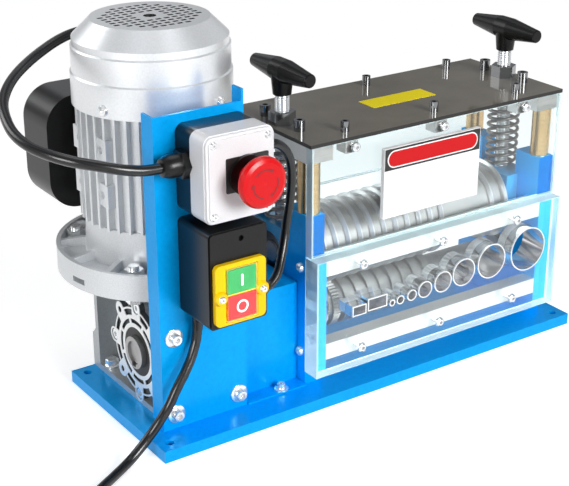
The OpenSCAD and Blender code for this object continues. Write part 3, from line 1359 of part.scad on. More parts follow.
echo("coil's least gap to itself", self_gap(coil_whole, coil_rings / 2) - power_d);
echo("power cord", path_length(smooth(power_route)), "coil", path_length(coil_whole), "motor lead",
    path_length(smooth(motor_route)),
    "link lead", path_length(smooth(link_route)));
module power_coil() color("#171717") swept(coil_whole, power_d / 2, 6, [0, 0, 1]);

// Plug with its strain relief and blades, lying beside the coil
relief_l = 26;
relief_r = 5.5;
plug_l = 34;
plug_w = 27;
plug_h = 2 * coil_high - bore_gap;
pin_l = 16;
pin_gap = 12.7;
pin_t = 1.5;
pin_h = 6.3;
pin_up = 3;
earth_drop = 6;
earth_r = 2.4;
relief_over = 0.6;
relief_grow = 2;
module plug() color("#181818") translate(plug_at) rotate(coil_turned) {
    rotate([0, 90, 0]) cylinder(h = relief_l, r1 = power_d / 2 + relief_over,
        r2 = relief_r + relief_grow, $fn = 24);
    translate([relief_l, 0, 0]) rotate([90, 0, 90]) linear_extrude(height = plug_l)
        round_rect([-plug_w / 2, -plug_h / 2], [plug_w, plug_h], plug_h / 3);
    for (y = [-pin_gap / 2, pin_gap / 2]) translate([relief_l + plug_l - over, y - pin_t / 2,
        -pin_h / 2 + pin_up]) cube([pin_l + over, pin_t, pin_h]);
    translate([relief_l + plug_l - over, 0, -earth_drop]) rotate([0, 90, 0]) cylinder(h = pin_l + over,
        r = earth_r);
}

placed() base_plate();
placed() end_frames();
placed() brass_posts();
placed() top_bars();
placed() top_sheet();
placed() top_fasteners();
placed() front_guard();
placed() rear_guard();
placed() guard_cubes();
placed() guide_block();
placed() tie_bars();
placed() guide_tubes();
placed() button_screws();
placed() sign_plate();
placed() gearbox_housing();
placed() output_cover();
placed() oil_seals();
placed() hollow_shaft();
placed() gearbox_flange();
placed() motor_end_bell();
placed() motor_body();
placed() motor_shaft();
placed() cooling_fan();
placed() fan_cowl();
placed() motor_fasteners();
placed() capacitor_box();
placed() capacitor_lid();
placed() control_bracket();
placed() gear_cover();
placed() chassis_bolts();
placed() feed_roller();
placed() cutter_shaft();
placed() cutter_blades();
placed() blade_spacers();
placed() bearing_blocks();
placed() upper_bearings();
placed() lower_bearings();
placed() springs();
placed() left_rod();
placed() left_handle();
placed() right_rod();
placed() right_handle();
placed() stop_base();
placed() stop_cover();
placed() stop_actuator();
placed() stop_stem();
placed() stop_head();
placed() switch_box();
placed() switch_lid();
placed() switch_bezel();
placed() start_button();
placed() stop_button();
placed() switch_membrane();
placed() box_screws();
placed() cable_glands();
placed_mid() motor_lead();
placed_mid() link_lead();
placed_mid() power_cord();
placed_mid() power_coil();
placed_mid() plug();
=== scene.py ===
import math

import bpy
import bmesh
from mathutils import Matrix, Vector


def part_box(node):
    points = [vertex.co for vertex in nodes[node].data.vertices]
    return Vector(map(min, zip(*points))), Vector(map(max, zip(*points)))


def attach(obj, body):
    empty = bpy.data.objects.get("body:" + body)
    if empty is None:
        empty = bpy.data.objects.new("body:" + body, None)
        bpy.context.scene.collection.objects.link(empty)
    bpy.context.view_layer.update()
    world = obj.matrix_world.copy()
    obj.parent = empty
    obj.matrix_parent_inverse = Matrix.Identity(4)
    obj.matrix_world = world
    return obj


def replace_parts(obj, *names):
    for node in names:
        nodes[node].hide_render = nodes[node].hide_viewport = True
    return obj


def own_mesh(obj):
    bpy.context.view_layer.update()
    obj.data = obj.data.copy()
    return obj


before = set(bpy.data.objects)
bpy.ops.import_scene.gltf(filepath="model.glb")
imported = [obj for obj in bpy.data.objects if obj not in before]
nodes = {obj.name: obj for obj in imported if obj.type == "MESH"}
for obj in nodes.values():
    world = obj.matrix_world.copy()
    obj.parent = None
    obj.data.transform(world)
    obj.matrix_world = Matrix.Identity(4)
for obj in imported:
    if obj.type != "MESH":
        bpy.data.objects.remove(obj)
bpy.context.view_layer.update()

# Camera: the photograph's own viewpoint, in front, to the left and above.
view_from = Vector((-0.63973, -0.86232, 0.55818))
view_along = Vector((0.52071, 0.75901, -0.39085))
camera = bpy.data.objects.new("camera", bpy.data.cameras.new("camera"))
bpy.context.scene.collection.objects.link(camera)
camera.data.lens = 87.37
camera.data.sensor_width = 36
camera.data.clip_end = 30
camera.location = view_from
camera.rotation_mode = "QUATERNION"
camera.rotation_quaternion = view_along.to_track_quat("-Z", "Y")
bpy.context.scene.camera = camera
bpy.context.scene.view_settings.view_transform = "Standard"

# Cords: round PVC-sheathed leads. One runs from the stop box behind the motor to the
# capacitor box, one joins the two switch boxes, and the power cord drops from the switch
# box to the bench, where its spare length lies in a flat coil of two layers.
MM = 0.001
CORNER = Vector((-210, -78, 0))  # the base plate's front left corner


def placed(point):
    """A point in millimetres from the base plate's corner, in the frame's metres."""
    return (Vector(point) + CORNER) * MM


def linear(colour):
    """An sRGB hex colour as the linear values that a shader takes."""
    parts = [int(colour[i:i + 2], 16) / 255 for i in (1, 3, 5)]
    return [p / 12.92 if p <= 0.04045 else ((p + 0.055) / 1.055) ** 2.4 for p in parts] + [1.0]


def add(tree, kind, inputs=(), **settings):
    """Adds one node with its settings, and sets or links its inputs."""
    made = tree.nodes.new(kind)
    for name, value in settings.items():
        setattr(made, name, value)
    for socket, value in dict(inputs).items():
        if isinstance(value, bpy.types.NodeSocket):
            tree.links.new(value, made.inputs[socket])
        else:
            made.inputs[socket].default_value = value
    return made


def material(name, colour, metallic, roughness, **more):
    """A material with its shader's plain values set; returns it, its tree and its shader."""
    made = bpy.data.materials.new(name)
    made.use_nodes = True
    shader = made.node_tree.nodes["Principled BSDF"]
    shader.inputs["Base Color"].default_value = linear(colour)
    shader.inputs["Metallic"].default_value = metallic
    shader.inputs["Roughness"].default_value = roughness
    for socket, value in more.items():
        shader.inputs[socket.replace("_", " ")].default_value = value
    return made, made.node_tree, shader


def calc(tree, operation, *values):
    """One step of arithmetic on a shader's values."""
    return add(tree, "ShaderNodeMath", dict(enumerate(values)), operation=operation).outputs[0]


def split_xyz(tree, kind, output):
    """The X, Y and Z of one output of a new node."""
    return add(tree, "ShaderNodeSeparateXYZ", {"Vector": add(tree, kind).outputs[output]})


def show_where(tree, share, own, other):
    """Shows another finish where the share is 1, and the material's own elsewhere."""
    both = add(tree, "ShaderNodeMixShader", {0: share, 1: own.outputs[0], 2: other.outputs[0]})
    tree.links.new(both.outputs[0], tree.nodes["Material Output"].inputs["Surface"])


def surface_grain(tree, shader, size, depth, stretch=(1, 1, 1)):
    """Fine relief of grains of that size and depth in millimetres, stretched along an axis."""
    place = add(tree, "ShaderNodeTexCoord")
    fitted = add(tree, "ShaderNodeMapping", {"Vector": place.outputs["Object"], "Scale": stretch})
    grains = add(tree, "ShaderNodeTexNoise",
                 {"Vector": fitted.outputs["Vector"], "Scale": 1 / (size * MM), "Detail": 3.0})
    relief = add(tree, "ShaderNodeBump",
                 {"Height": grains.outputs["Fac"], "Strength": 1.0, "Distance": depth * MM})
    tree.links.new(relief.outputs["Normal"], shader.inputs["Normal"])
    return grains


def shade_between(tree, shader, grains, dark, light, socket="Base Color"):
    """Lets the colour, or a value, wander between two limits with the grains."""
    ramp = add(tree, "ShaderNodeValToRGB", {"Fac": grains.outputs["Fac"]})
    ramp.color_ramp.elements[0].position = 0.3
    ramp.color_ramp.elements[1].position = 0.7
    ramp.color_ramp.elements[0].color = linear(dark)
    ramp.color_ramp.elements[1].color = linear(light)
    tree.links.new(ramp.outputs["Color"], shader.inputs[socket])


# PVC sheath: extruded, so it is smooth with a soft gloss and a very faint waviness.
sheath, tree, shader = material("pvc_sheath", "#0c0c0d", 0, 0.24, IOR=1.53)
shade_between(tree, shader, surface_grain(tree, shader, 3.0, 0.03), "#0a0a0b", "#101011")


def catmull(a, b, c, d, t):
    """The point at share t between b and c on a smooth line through four points."""
    return 0.5 * (2 * b + (c - a) * t + (2 * a - 5 * b + 4 * c - d) * t * t + (3 * b - a - 3 * c + d) * t ** 3)


def smooth(points, steps=6):
    """A smooth line through points given in millimetres from the base plate's corner."""
    p = [Vector(q) for q in points]
    line = []
    for i in range(len(p) - 1):
        for k in range(steps):
            line.append(catmull(p[max(i - 1, 0)], p[i], p[i + 1], p[min(i + 2, len(p) - 1)], k / steps))
    return line + [p[-1]]


def cord_piece(name, line, diameter, node_names, body):
    """One cord as a round curve along a line in millimetres."""
    points = [placed(q) for q in line]
    curve = bpy.data.curves.new(name, "CURVE")
    curve.dimensions = "3D"
    curve.bevel_depth = diameter * MM / 2
    curve.bevel_resolution = 5
    curve.use_fill_caps = True
    spline = curve.splines.new("POLY")
    spline.points.add(len(points) - 1)
    for there, q in zip(spline.points, points):
        there.co = (*q, 1)
    spline.use_smooth = True
    curve.materials.append(sheath)
    piece = bpy.data.objects.new(name, curve)
    bpy.context.scene.collection.objects.link(piece)
    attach(piece, body)
    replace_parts(piece, *node_names)


power_d = 7.5
power_route = [(43.4, 20, 107), (43.2, 20, 100), (42.6, 20, 92.7), (40.7, 19.5, 83.1),
               (35.4, 17.5, 72.4), (28.2, 15.5, 62.4), (18.9, 14, 50.2), (12.4, 14, 39),
               (3.5, 13.2, 29.1), (-4.6, 13.8, 19.5), (-14.6, 12.6, 11.5), (-26.6, 9.3, 5.6),
               (-43.2, 1, 3.75), (-55, -5.8, 3.75), (-66, -12.5, 3.75), (-77, -19, 3.75),
               (-90, -22.75, 3.75), (-98, -22.75, 3.75)]
coil_gap = 0.6
coil_step = power_d + coil_gap
coil_rings = 24
coil_turns = 2.5
coil_in_r = 33
layer_n = int(coil_turns * coil_rings)
climb_n = coil_rings // 2
coil_out_r = coil_in_r + coil_step * (layer_n + climb_n / 2) / coil_rings
coil_end = Vector(power_route[-1])
coil_centre = Vector((coil_end.x - power_d, coil_end.y - coil_out_r, 0))


def coil_point(i):
    """Point i of the coil: in along the bench, up one layer in half a turn, and out again."""
    a = math.radians(90 + i * 360 / coil_rings)
    r = coil_in_r + coil_step * abs(i - layer_n - climb_n / 2) / coil_rings
    climbed = max(0.0, min(1.0, (i - layer_n) / climb_n))
    return coil_centre + Vector((r * math.cos(a), r * math.sin(a), power_d / 2 + coil_step * climbed))


coil_line = [coil_point(i / 2) for i in range(2 * (2 * layer_n + climb_n) + 1)]
tail_dir = Vector((1, 0, 0))
power_line = smooth(power_route) + [coil_end - Vector((power_d * 0.6, 0, 0))] + coil_line
power_line += [coil_line[-1] + tail_dir * power_d * i for i in (1, 2, 3, 4)]
cord_piece("power_cord_whole", power_line, power_d, ["power_cord", "power_coil"], "machine")

# Strain relief: a slim tapered sleeve of the same PVC that follows the power cord out of its
# box.
sleeve_points = 13
sleeve_r = 4.8
sleeve_taper = 0.9
sleeve = bpy.data.curves.new("cord_sleeve", "CURVE")
sleeve.dimensions = "3D"
sleeve.bevel_depth = MM
sleeve.bevel_resolution = 5
sleeve.use_fill_caps = True
held = smooth(power_route)[:sleeve_points]
spline = sleeve.splines.new("POLY")
spline.points.add(len(held) - 1)
for i, (there, q) in enumerate(zip(spline.points, held)):
    there.co = (*placed(q), 1)
    there.radius = sleeve_r - sleeve_taper * i / (len(held) - 1)
spline.use_smooth = True
sleeve.materials.append(sheath)
piece = bpy.data.objects.new("cord_sleeve", sleeve)
bpy.context.scene.collection.objects.link(piece)
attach(piece, "machine")

motor_lead_route = [(20, 14, 229), (10, 14, 229), (-2, 14.5, 230), (-16, 17, 233), (-31, 23, 237),
                    (-45, 33, 240), (-56, 47, 243), (-63, 64, 246), (-65, 83, 250), (-62, 102, 255),
                    (-56, 120, 260), (-46, 136, 265), (-33, 150, 270), (-17, 162, 275), (0, 173, 279),
                    (18, 182, 283), (35, 189, 285), (52, 193, 285), (67, 195, 281), (79, 195, 272),
                    (84.5, 195, 262), (85, 195, 253)]
cord_piece("motor_lead_sheath", smooth(motor_lead_route), 8, ["motor_lead"], "machine")
link_lead_route = [(102.5, 14, 229), (110, 14, 228.5), (118, 15, 223), (124, 16.5, 214),
                   (127, 18, 202), (127.5, 19, 189), (126.5, 20, 175), (124, 20, 161),
                   (120.5, 18, 148), (115, 14, 136), (108, 9, 126), (100, 6.5, 120), (94, 6, 119)]
cord_piece("link_lead_sheath", smooth(link_lead_route), 7, ["link_lead"], "machine")


def mesh_piece(name, made, finish, body, smooth_angle=35):
    """Turns a bmesh in metres into a piece that rides on a body, with its finish."""
    bmesh.ops.recalc_face_normals(made, faces=made.faces)
    mesh = bpy.data.meshes.new(name)
    made.to_mesh(mesh)
    made.free()
    mesh.materials.append(finish)
    mesh.shade_smooth()
    mesh.set_sharp_from_angle(angle=math.radians(smooth_angle))
    piece = bpy.data.objects.new(name, mesh)
    bpy.context.scene.collection.objects.link(piece)
    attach(piece, body)
    return piece


def turn_into(made, profile, origin, direction, sides=32):
    """Adds a turned body to a bmesh: rows of radius, height and, for a hexagon, a third value."""
    swing = Vector((0, 0, 1)).rotation_difference(Vector(direction))
    rows = []
    for r, h, *hexed in profile:
        row = []
        for k in range(sides if r else 1):
            a = 2 * math.pi * k / sides
            there = r / math.cos((a + math.pi / 6) % (math.pi / 3) - math.pi / 6) if hexed else r
            spoke = Vector((there * math.cos(a), there * math.sin(a), h))
            row.append(made.verts.new(placed(Vector(origin) + swing @ spoke)))
        rows.append(row)
    for a, b in zip(rows, rows[1:]):
        for k in range(sides):
            j = (k + 1) % sides
            ring = [a[k % len(a)], a[j % len(a)], b[j % len(b)], b[k % len(b)]]
            made.faces.new(list(dict.fromkeys(ring)))


# Cord tie: a soft wire tie with a paper-thin black plastic skin, wound once round the coil.
tie_half_w = 2.5
tie_out = 44
tie_skin_t = 0.3
tie_wrap = [(-19.5, 0.35), (-19.5, 15.5), (-17.5, 16.6), (6.5, 16.6), (8.5, 15.5), (8.5, 0.35)]
band = bmesh.new()
outer = [Vector((coil_centre.x - tie_out + a, coil_centre.y, z)) for a, z in tie_wrap]
for side in (-tie_half_w, tie_half_w):
    for q in outer:
        band.verts.new(placed(q + Vector((0, side, 0))))
band.verts.ensure_lookup_table()
n = len(outer)
for i in range(n):
    j = (i + 1) % n
    band.faces.new([band.verts[k] for k in (i, j, n + j, n + i)])
tie_skin, tree, shader = material("tie_skin", "#101011", 0, 0.5, IOR=1.5)
surface_grain(tree, shader, 1.5, 0.04)
tie = mesh_piece("cord_tie", band, tie_skin, "machine")
thick = tie.modifiers.new("skin", "SOLIDIFY")
thick.thickness = tie_skin_t * MM
thick.offset = 0

# Studio: a plain white floor and soft lights. The floor keeps the machine's shadow.
floor_half = 8
floor_drop = 0.0002
shadow_reach, plain_reach = 0.35, 0.8
floor_mesh = bmesh.new()
bmesh.ops.create_grid(floor_mesh, x_segments=1, y_segments=1, size=floor_half)
mesh = bpy.data.meshes.new("floor")
floor_mesh.to_mesh(mesh)
floor_mesh.free()
floor = bpy.data.objects.new("floor", mesh)
floor.location = (0, 0, -floor_drop)
bpy.context.scene.collection.objects.link(floor)
white_floor, tree, shader = material("white_floor", "#f4f4f4", 0, 0.9,
                                     Emission_Color=(1, 1, 1, 1), Emission_Strength=0.5)
mesh.materials.append(white_floor)
# Away from the machine the floor runs out into plain white, and it throws back less light
# than it shows.
place = add(tree, "ShaderNodeTexCoord")
away = add(tree, "ShaderNodeVectorMath", {0: place.outputs["Object"]}, operation="LENGTH")
fade = add(tree, "ShaderNodeMapRange",
           {"Value": away.outputs["Value"], "From Min": shadow_reach, "From Max": plain_reach})
plain = add(tree, "ShaderNodeEmission", {"Color": (1, 1, 1, 1), "Strength": 1.0})
ground = add(tree, "ShaderNodeMixShader",
             {0: fade.outputs["Result"], 1: shader.outputs[0], 2: plain.outputs[0]})
ray = add(tree, "ShaderNodeLightPath")
dull = add(tree, "ShaderNodeBsdfDiffuse", {"Color": (0.3, 0.3, 0.31, 1)})
show_where(tree, ray.outputs["Is Diffuse Ray"], ground, dull)

# The room's light: a dim floor, bright walls and a softer top, with bright and dark cards
# from left to right that the metals mirror. The camera and clear parts see plain white.
card_levels = ((0.0, 1.0), (0.22, 0.3), (0.36, 1.5), (0.5, 0.22), (0.62, 1.4), (0.8, 0.3), (1.0, 1.1))
world = bpy.data.worlds.new("studio")
bpy.context.scene.world = world
world.use_nodes = True
tree = world.node_tree
tree.nodes.clear()
ray = add(tree, "ShaderNodeLightPath")
way = add(tree, "ShaderNodeTexCoord")
split = add(tree, "ShaderNodeSeparateXYZ", {"Vector": way.outputs["Generated"]})
height = add(tree, "ShaderNodeMapRange",
             {"Value": split.outputs["Z"], "From Min": -0.2, "From Max": 1.0})
room = add(tree, "ShaderNodeValToRGB", {"Fac": height.outputs["Result"]})
room.color_ramp.elements[0].color = (0.2, 0.2, 0.21, 1)
room.color_ramp.elements[1].color = (0.42, 0.43, 0.45, 1)
walls = room.color_ramp.elements.new(0.3)
walls.color = (0.6, 0.61, 0.63, 1)
side = add(tree, "ShaderNodeMapRange",
           {"Value": split.outputs["X"], "From Min": -1.0, "From Max": 1.0})
cards = add(tree, "ShaderNodeValToRGB", {"Fac": side.outputs["Result"]})
elements = cards.color_ramp.elements
for at, bright in card_levels:
    card = elements.new(at) if 0 < at < 1 else elements[0 if at == 0 else -1]
    card.color = (bright, bright, bright, 1)
banded = add(tree, "ShaderNodeVectorMath",
             {0: room.outputs["Color"], 1: cards.outputs["Color"]}, operation="MULTIPLY")
level = add(tree, "ShaderNodeMapRange",
            {"Value": ray.outputs["Is Glossy Ray"], "To Min": 0.24, "To Max": 1.15})
lit_room = add(tree, "ShaderNodeBackground",
               {"Color": banded.outputs["Vector"], "Strength": level.outputs["Result"]})
white_room = add(tree, "ShaderNodeBackground", {"Color": (1, 1, 1, 1), "Strength": 1.0})
seen = calc(tree, "MAXIMUM", ray.outputs["Is Camera Ray"], ray.outputs["Is Transmission Ray"])
room_mix = add(tree, "ShaderNodeMixShader", {0: seen, 1: lit_room.outputs[0], 2: white_room.outputs[0]})
add(tree, "ShaderNodeOutputWorld", {"Surface": room_mix.outputs[0]})

# Each lamp's name, place, aim, size in metres and power in watts
lamps = [("key_light", (0.3, -2.4, 1.0), (0, 0, 0.1), 1.0, 66),
         ("left_light", (-2.2, -0.9, 0.8), (-0.1, 0, 0.15), 1.0, 32),
         ("top_light", (0.3, 0.3, 2.2), (0, 0, 0.1), 1.2, 8),
         ("back_light", (-1.2, 1.5, 1.2), (0, 0, 0.15), 1.0, 10)]
for name, place, aim, size, watts in lamps:
    light = bpy.data.lights.new(name, "AREA")
    light.size = size
    light.energy = watts
    lamp = bpy.data.objects.new(name, light)
    bpy.context.scene.collection.objects.link(lamp)
    lamp.location = place
    lamp.rotation_mode = "QUATERNION"
    lamp.rotation_quaternion = (Vector(aim) - Vector(place)).to_track_quat("-Z", "Y")


def coat(finish, node_names, edge=0.4, angle=32):
    """Gives CAD pieces their finish, smooth turned faces and small broken edges."""
    for name in node_names:
        piece = nodes[name]
        piece.data.materials.clear()
        piece.data.materials.append(finish)
        piece.data.shade_smooth()
        piece.data.set_sharp_from_angle(angle=math.radians(angle))
        if edge:
            broken = piece.modifiers.new("broken_edges", "BEVEL")
            broken.width = edge * MM
            broken.segments = 2
            broken.limit_method = "ANGLE"
            broken.angle_limit = math.radians(angle + 8)
            broken.harden_normals = True
            broken.use_clamp_overlap = True


# Base plate: a 10 mm steel plate, sawn and ground, then sprayed and baked in blue enamel.
# The enamel is glossy with a faint orange peel, and its edges are a little rounded.
blue_enamel, tree, shader = material("blue_enamel", "#009fea", 0.3, 0.32, IOR=1.4,
                                     Specular_IOR_Level=0.14, Coat_Weight=0.05, Coat_Roughness=0.06)
shade_between(tree, shader, surface_grain(tree, shader, 3.5, 0.004), "#009be6", "#00a3ee")
coat(blue_enamel, ["base_plate"], 0.6)

# End frames: thick machined steel plates in the same enamel, each with a slot for a bearing block.
coat(blue_enamel, ["end_frames"], 0.5)

# Brass posts: turned brass bar, polished along the lathe, which leaves fine rings round it.
turned_brass, tree, shader = material("turned_brass", "#dcbd90", 1, 0.24)
shade_between(tree, shader, surface_grain(tree, shader, 12, 0.006, (1, 1, 40)), "#c49c69", "#dcc092")
coat(turned_brass, ["brass_posts"], 0.3)

# Top bars, guard cubes and tie bars: extruded aluminium with a satin, lengthwise grain.
satin_aluminium, tree, shader = material("satin_aluminium", "#dcdcda", 0.8, 0.4)
shade_between(tree, shader, surface_grain(tree, shader, 14, 0.006, (1, 30, 30)), "#d6d6d4", "#e3e3e1")
coat(satin_aluminium, ["top_bars", "guard_cubes", "tie_bars"], 0.5)

# Top sheet: smoked acrylic, laser cut, with the mirror gloss of the cast sheet. Its flat faces are
# a mid grey, partly the sheet's smoky tint and partly a painted reflection of the bright room.
# Its cut edges look nearly black.
smoked_acrylic, tree, shader = material("smoked_acrylic", "#6f6a60", 0, 0.06, IOR=1.49)
shade_between(tree, shader, surface_grain(tree, shader, 30, 0.002), "#6b665c", "#736e64")
facing = split_xyz(tree, "ShaderNodeNewGeometry", "True Normal")
upright = calc(tree, "LESS_THAN", calc(tree, "ABSOLUTE", facing.outputs["Z"]), 0.5)
dark_edge = add(tree, "ShaderNodeBsdfPrincipled",
                {"Base Color": linear("#1b1a18"), "Roughness": 0.3, "IOR": 1.49})
show_where(tree, upright, shader, dark_edge)
coat(smoked_acrylic, ["top_sheet"], 0.3)

# Button screws, motor bolts and box screws: zinc-plated steel, barrel tumbled, so bright with
# soft edges. The socket screws and lock nuts on the top sheet are nickel plated, and darker.
zinc_plate, tree, shader = material("zinc_plate", "#e4e6e7", 0.75, 0.2)
shade_between(tree, shader, surface_grain(tree, shader, 1.2, 0.004), "#dee0e1", "#eceeef")
coat(zinc_plate, ["button_screws", "motor_fasteners", "box_screws"], 0.2)
bright_nickel, tree, shader = material("bright_nickel", "#8e9092", 1, 0.1)
surface_grain(tree, shader, 1.2, 0.003)
coat(bright_nickel, ["top_fasteners"], 0.2)

# Chassis bolts: socket screws on plain washers, and hexagon bolts in the gearbox feet.
# The rows hold radius and height; a third value makes the row a hexagon.
socket_screw = [(0, 0.05), (7.4, 0.05), (7.4, 1.4), (7.1, 1.6), (4.2, 1.6), (4.2, 6.3), (3.8, 6.7),
                (2.1, 6.7, 1), (2.1, 4.4, 1), (0, 4.2)]
foot_bolt = [(0, 0.05), (6.3, 0.05), (6.3, 1.6), (5, 1.6, 1), (5, 6.6, 1), (4.6, 7.1), (0, 7.1)]
small_share = 0.8
cover_screw = [(r * small_share, h * small_share, *more) for r, h, *more in socket_screw]
bracket_face_y, foot_top_z, cover_foot_z = 26, 15, 11.6
bolts = bmesh.new()
for x, z in ((25, 23), (82, 23), (25, 88)):
    turn_into(bolts, socket_screw, (x, bracket_face_y, z), (0, -1, 0))
for x, y in ((28.1, 136), (101.9, 136), (28.1, 40)):
    turn_into(bolts, foot_bolt, (x, y, foot_top_z), (0, 0, 1), 36)
for x, y in ((125, 29), (125, 127)):
    turn_into(bolts, cover_screw, (x, y, cover_foot_z), (0, 0, 1))
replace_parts(mesh_piece("chassis_bolt_heads", bolts, zinc_plate, "machine"), "chassis_bolts")

# Guards and guide block: cast acrylic plates, clear as water, with sawn edges that scatter
# the light. Light passes through the plates, so they throw no shadow of their own.
edge_from_middle = 0.494
sawn_share = 0.7
clear_acrylic, tree, shader = material("clear_acrylic", "#f6fdfe", 0, 0.01, IOR=1.49,
                                       Transmission_Weight=1.0)
surface_grain(tree, shader, 40, 0.001)
in_box = split_xyz(tree, "ShaderNodeTexCoord", "Generated")
off_x, off_z = [calc(tree, "ABSOLUTE", calc(tree, "SUBTRACT", in_box.outputs[way], 0.5)) for way in ("X", "Z")]
edge = calc(tree, "GREATER_THAN", calc(tree, "MAXIMUM", off_x, off_z), edge_from_middle)
sawn = add(tree, "ShaderNodeBsdfPrincipled",
           {"Base Color": linear("#dcf3f7"), "Roughness": 0.3, "IOR": 1.49})
show_where(tree, calc(tree, "MULTIPLY", edge, sawn_share), shader, sawn)
clear_plates = ["front_guard", "rear_guard", "guide_block"]
coat(clear_acrylic, clear_plates, 0.4)
for name in clear_plates:
    nodes[name].visible_shadow = False

# Guide tubes: drawn stainless tube, polished inside and out.
polished_tube, tree, shader = material("polished_tube", "#f4f5f6", 0.8, 0.12)
surface_grain(tree, shader, 20, 0.003, (1, 0.1, 1))
coat(polished_tube, ["guide_tubes"], 0.15)

# Sign plate: white satin styrene with a plain printed head, kept free of words.
white_styrene, tree, shader = material("white_styrene", "#f2f2f2", 0, 0.4, IOR=1.55)
shade_between(tree, shader, surface_grain(tree, shader, 2.5, 0.01), "#efefef", "#f5f5f5")
coat(white_styrene, ["sign_plate"], 0.4)


def flat_outline(name, outline, front, back, finish, body, hole=None):
    """A thin printed or cut piece: an outline in X and Z, in millimetres, between two Y places."""
    made = bmesh.new()
    rings = []
    for y in (front, back):
        rings.append([[made.verts.new(placed((x, y, z))) for x, z in ring]
                      for ring in [outline] + ([hole] if hole else [])])
    for r in range(len(rings[0])):
        a, b = rings[0][r], rings[1][r]
        for i in range(len(a)):
            j = (i + 1) % len(a)
            made.faces.new([a[i], a[j], b[j], b[i]])
    for level in rings:
        if hole:
            m = len(level[0])
            for i in range(m):
                j = (i + 1) % m
                made.faces.new([level[0][i], level[0][j], level[1][j], level[1][i]])
        else:
            made.faces.new(level[0])
    return mesh_piece(name, made, finish, body)


def round_outline(low, high, radius, steps=6):
    """A rectangle with round corners as points, counter-clockwise."""
    points = []
    for cx, cz, start in ((high[0] - radius, low[1] + radius, -90),
                          (high[0] - radius, high[1] - radius, 0),
                          (low[0] + radius, high[1] - radius, 90),
                          (low[0] + radius, low[1] + radius, 180)):
        for k in range(steps + 1):
            a = math.radians(start + 90 * k / steps)
            points.append((cx + radius * math.cos(a), cz + radius * math.sin(a)))
    return points


def corner_box(name):
    """A CAD piece's corners in millimetres from the base plate's corner."""
    low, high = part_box(name)
    return low / MM - CORNER, high / MM - CORNER


def centre_xz(name):
    """A CAD piece's lowest corner, and its middle in X and Z."""
    low, high = corner_box(name)
    return low, (low.x + high.x) / 2, (low.z + high.z) / 2


def circle(cx, cz, radius):
    """A circle as 36 points in X and Z."""
    return [(cx + radius * math.cos(math.radians(a)), cz + radius * math.sin(math.radians(a)))
            for a in range(0, 360, 10)]


ink_t = 0.12
head_h = 18.5
head_inset = 0.5
low, high = corner_box("sign_plate")
printed_black, tree, shader = material("printed_black", "#161616", 0, 0.42, IOR=1.5)
surface_grain(tree, shader, 1.0, 0.004)
printed_red, tree, shader = material("printed_red", "#c4060f", 0, 0.38, IOR=1.5, Specular_IOR_Level=0.3)
surface_grain(tree, shader, 1.0, 0.004)
left, right, foot, top = low.x + head_inset, high.x - head_inset, high.z - head_h, high.z - head_inset
flat_outline("sign_head", [(left, foot), (right, foot), (right, top), (left, top)],
             low.y - ink_t, low.y, printed_black, "machine")
flat_outline("sign_bar_rim", round_outline((low.x + 3, high.z - 16.8), (high.x - 3, high.z - 2.2), 7),
             low.y - 2 * ink_t, low.y - ink_t, white_styrene, "machine")
flat_outline("sign_bar", round_outline((low.x + 4, high.z - 15.8), (high.x - 4, high.z - 3.2), 6.2),
             low.y - 3 * ink_t, low.y - 2 * ink_t, printed_red, "machine")

# Name plate: a thin strip of yellow vinyl on the smoked sheet, left blank.
yellow_vinyl, tree, shader = material("yellow_vinyl", "#f0dc00", 0, 0.45, IOR=1.5,
                                      Specular_IOR_Level=0.2)
shade_between(tree, shader, surface_grain(tree, shader, 2.0, 0.004), "#edd900", "#f3df00")
strip = bmesh.new()
sheet_top, strip_t = 218.3, 0.25
left, right, front, back = 243, 309, 67, 88
corners = [strip.verts.new(placed((x, y, z))) for z in (sheet_top, sheet_top + strip_t)
           for x, y in ((left, front), (right, front), (right, back), (left, back))]
for face in ((3, 2, 1, 0), (4, 5, 6, 7), (0, 1, 5, 4), (1, 2, 6, 5), (2, 3, 7, 6), (3, 0, 4, 7)):
    strip.faces.new([corners[k] for k in face])
mesh_piece("blank_name_strip", strip, yellow_vinyl, "machine")

# Gearbox housing, flange, motor bell and finned body: die-cast aluminium, shot-blasted and
# painted silver. The finned body has the plain silver. The flange and bell are a little darker,
# and the housing much darker: painted shade for the shadow they sit in under the motor and
# bracket. The cast skin is slightly grainy.
silver_painted_shade, tree, shader = material("silver_painted_shade", "#d2d5d7", 0.4, 0.38)
shade_between(tree, shader, surface_grain(tree, shader, 0.9, 0.012), "#cbced0", "#dadcde")
coat(silver_painted_shade, ["gearbox_flange", "motor_end_bell"], 0.5)
# The housing's darker silver is a deeper painted shade.
silver_painted_deep_shade, tree, shader = material("silver_painted_deep_shade", "#a9adaf", 0.45, 0.38)
shade_between(tree, shader, surface_grain(tree, shader, 0.9, 0.012), "#a2a6a8", "#b2b6b8")
coat(silver_painted_deep_shade, ["gearbox_housing"], 0.5)
motor_silver, tree, shader = material("motor_silver", "#e0e3e5", 0.35, 0.38)
shade_between(tree, shader, surface_grain(tree, shader, 0.9, 0.008), "#dadddf", "#e6e8ea")
coat(motor_silver, ["motor_body"], 0.5)

# Output cover: a brighter machined casting with pockets, over two black rubber oil seals. Past a
# narrow strip at its left end the cover is a dark grey, painted shade for the shadow in its pockets.
bright_casting, tree, shader = material("bright_casting", "#e6e8e9", 0.5, 0.32)
shade_between(tree, shader, surface_grain(tree, shader, 0.8, 0.008), "#e0e2e3", "#edefef")
unshaded_share = 0.12
in_box = split_xyz(tree, "ShaderNodeTexCoord", "Generated")
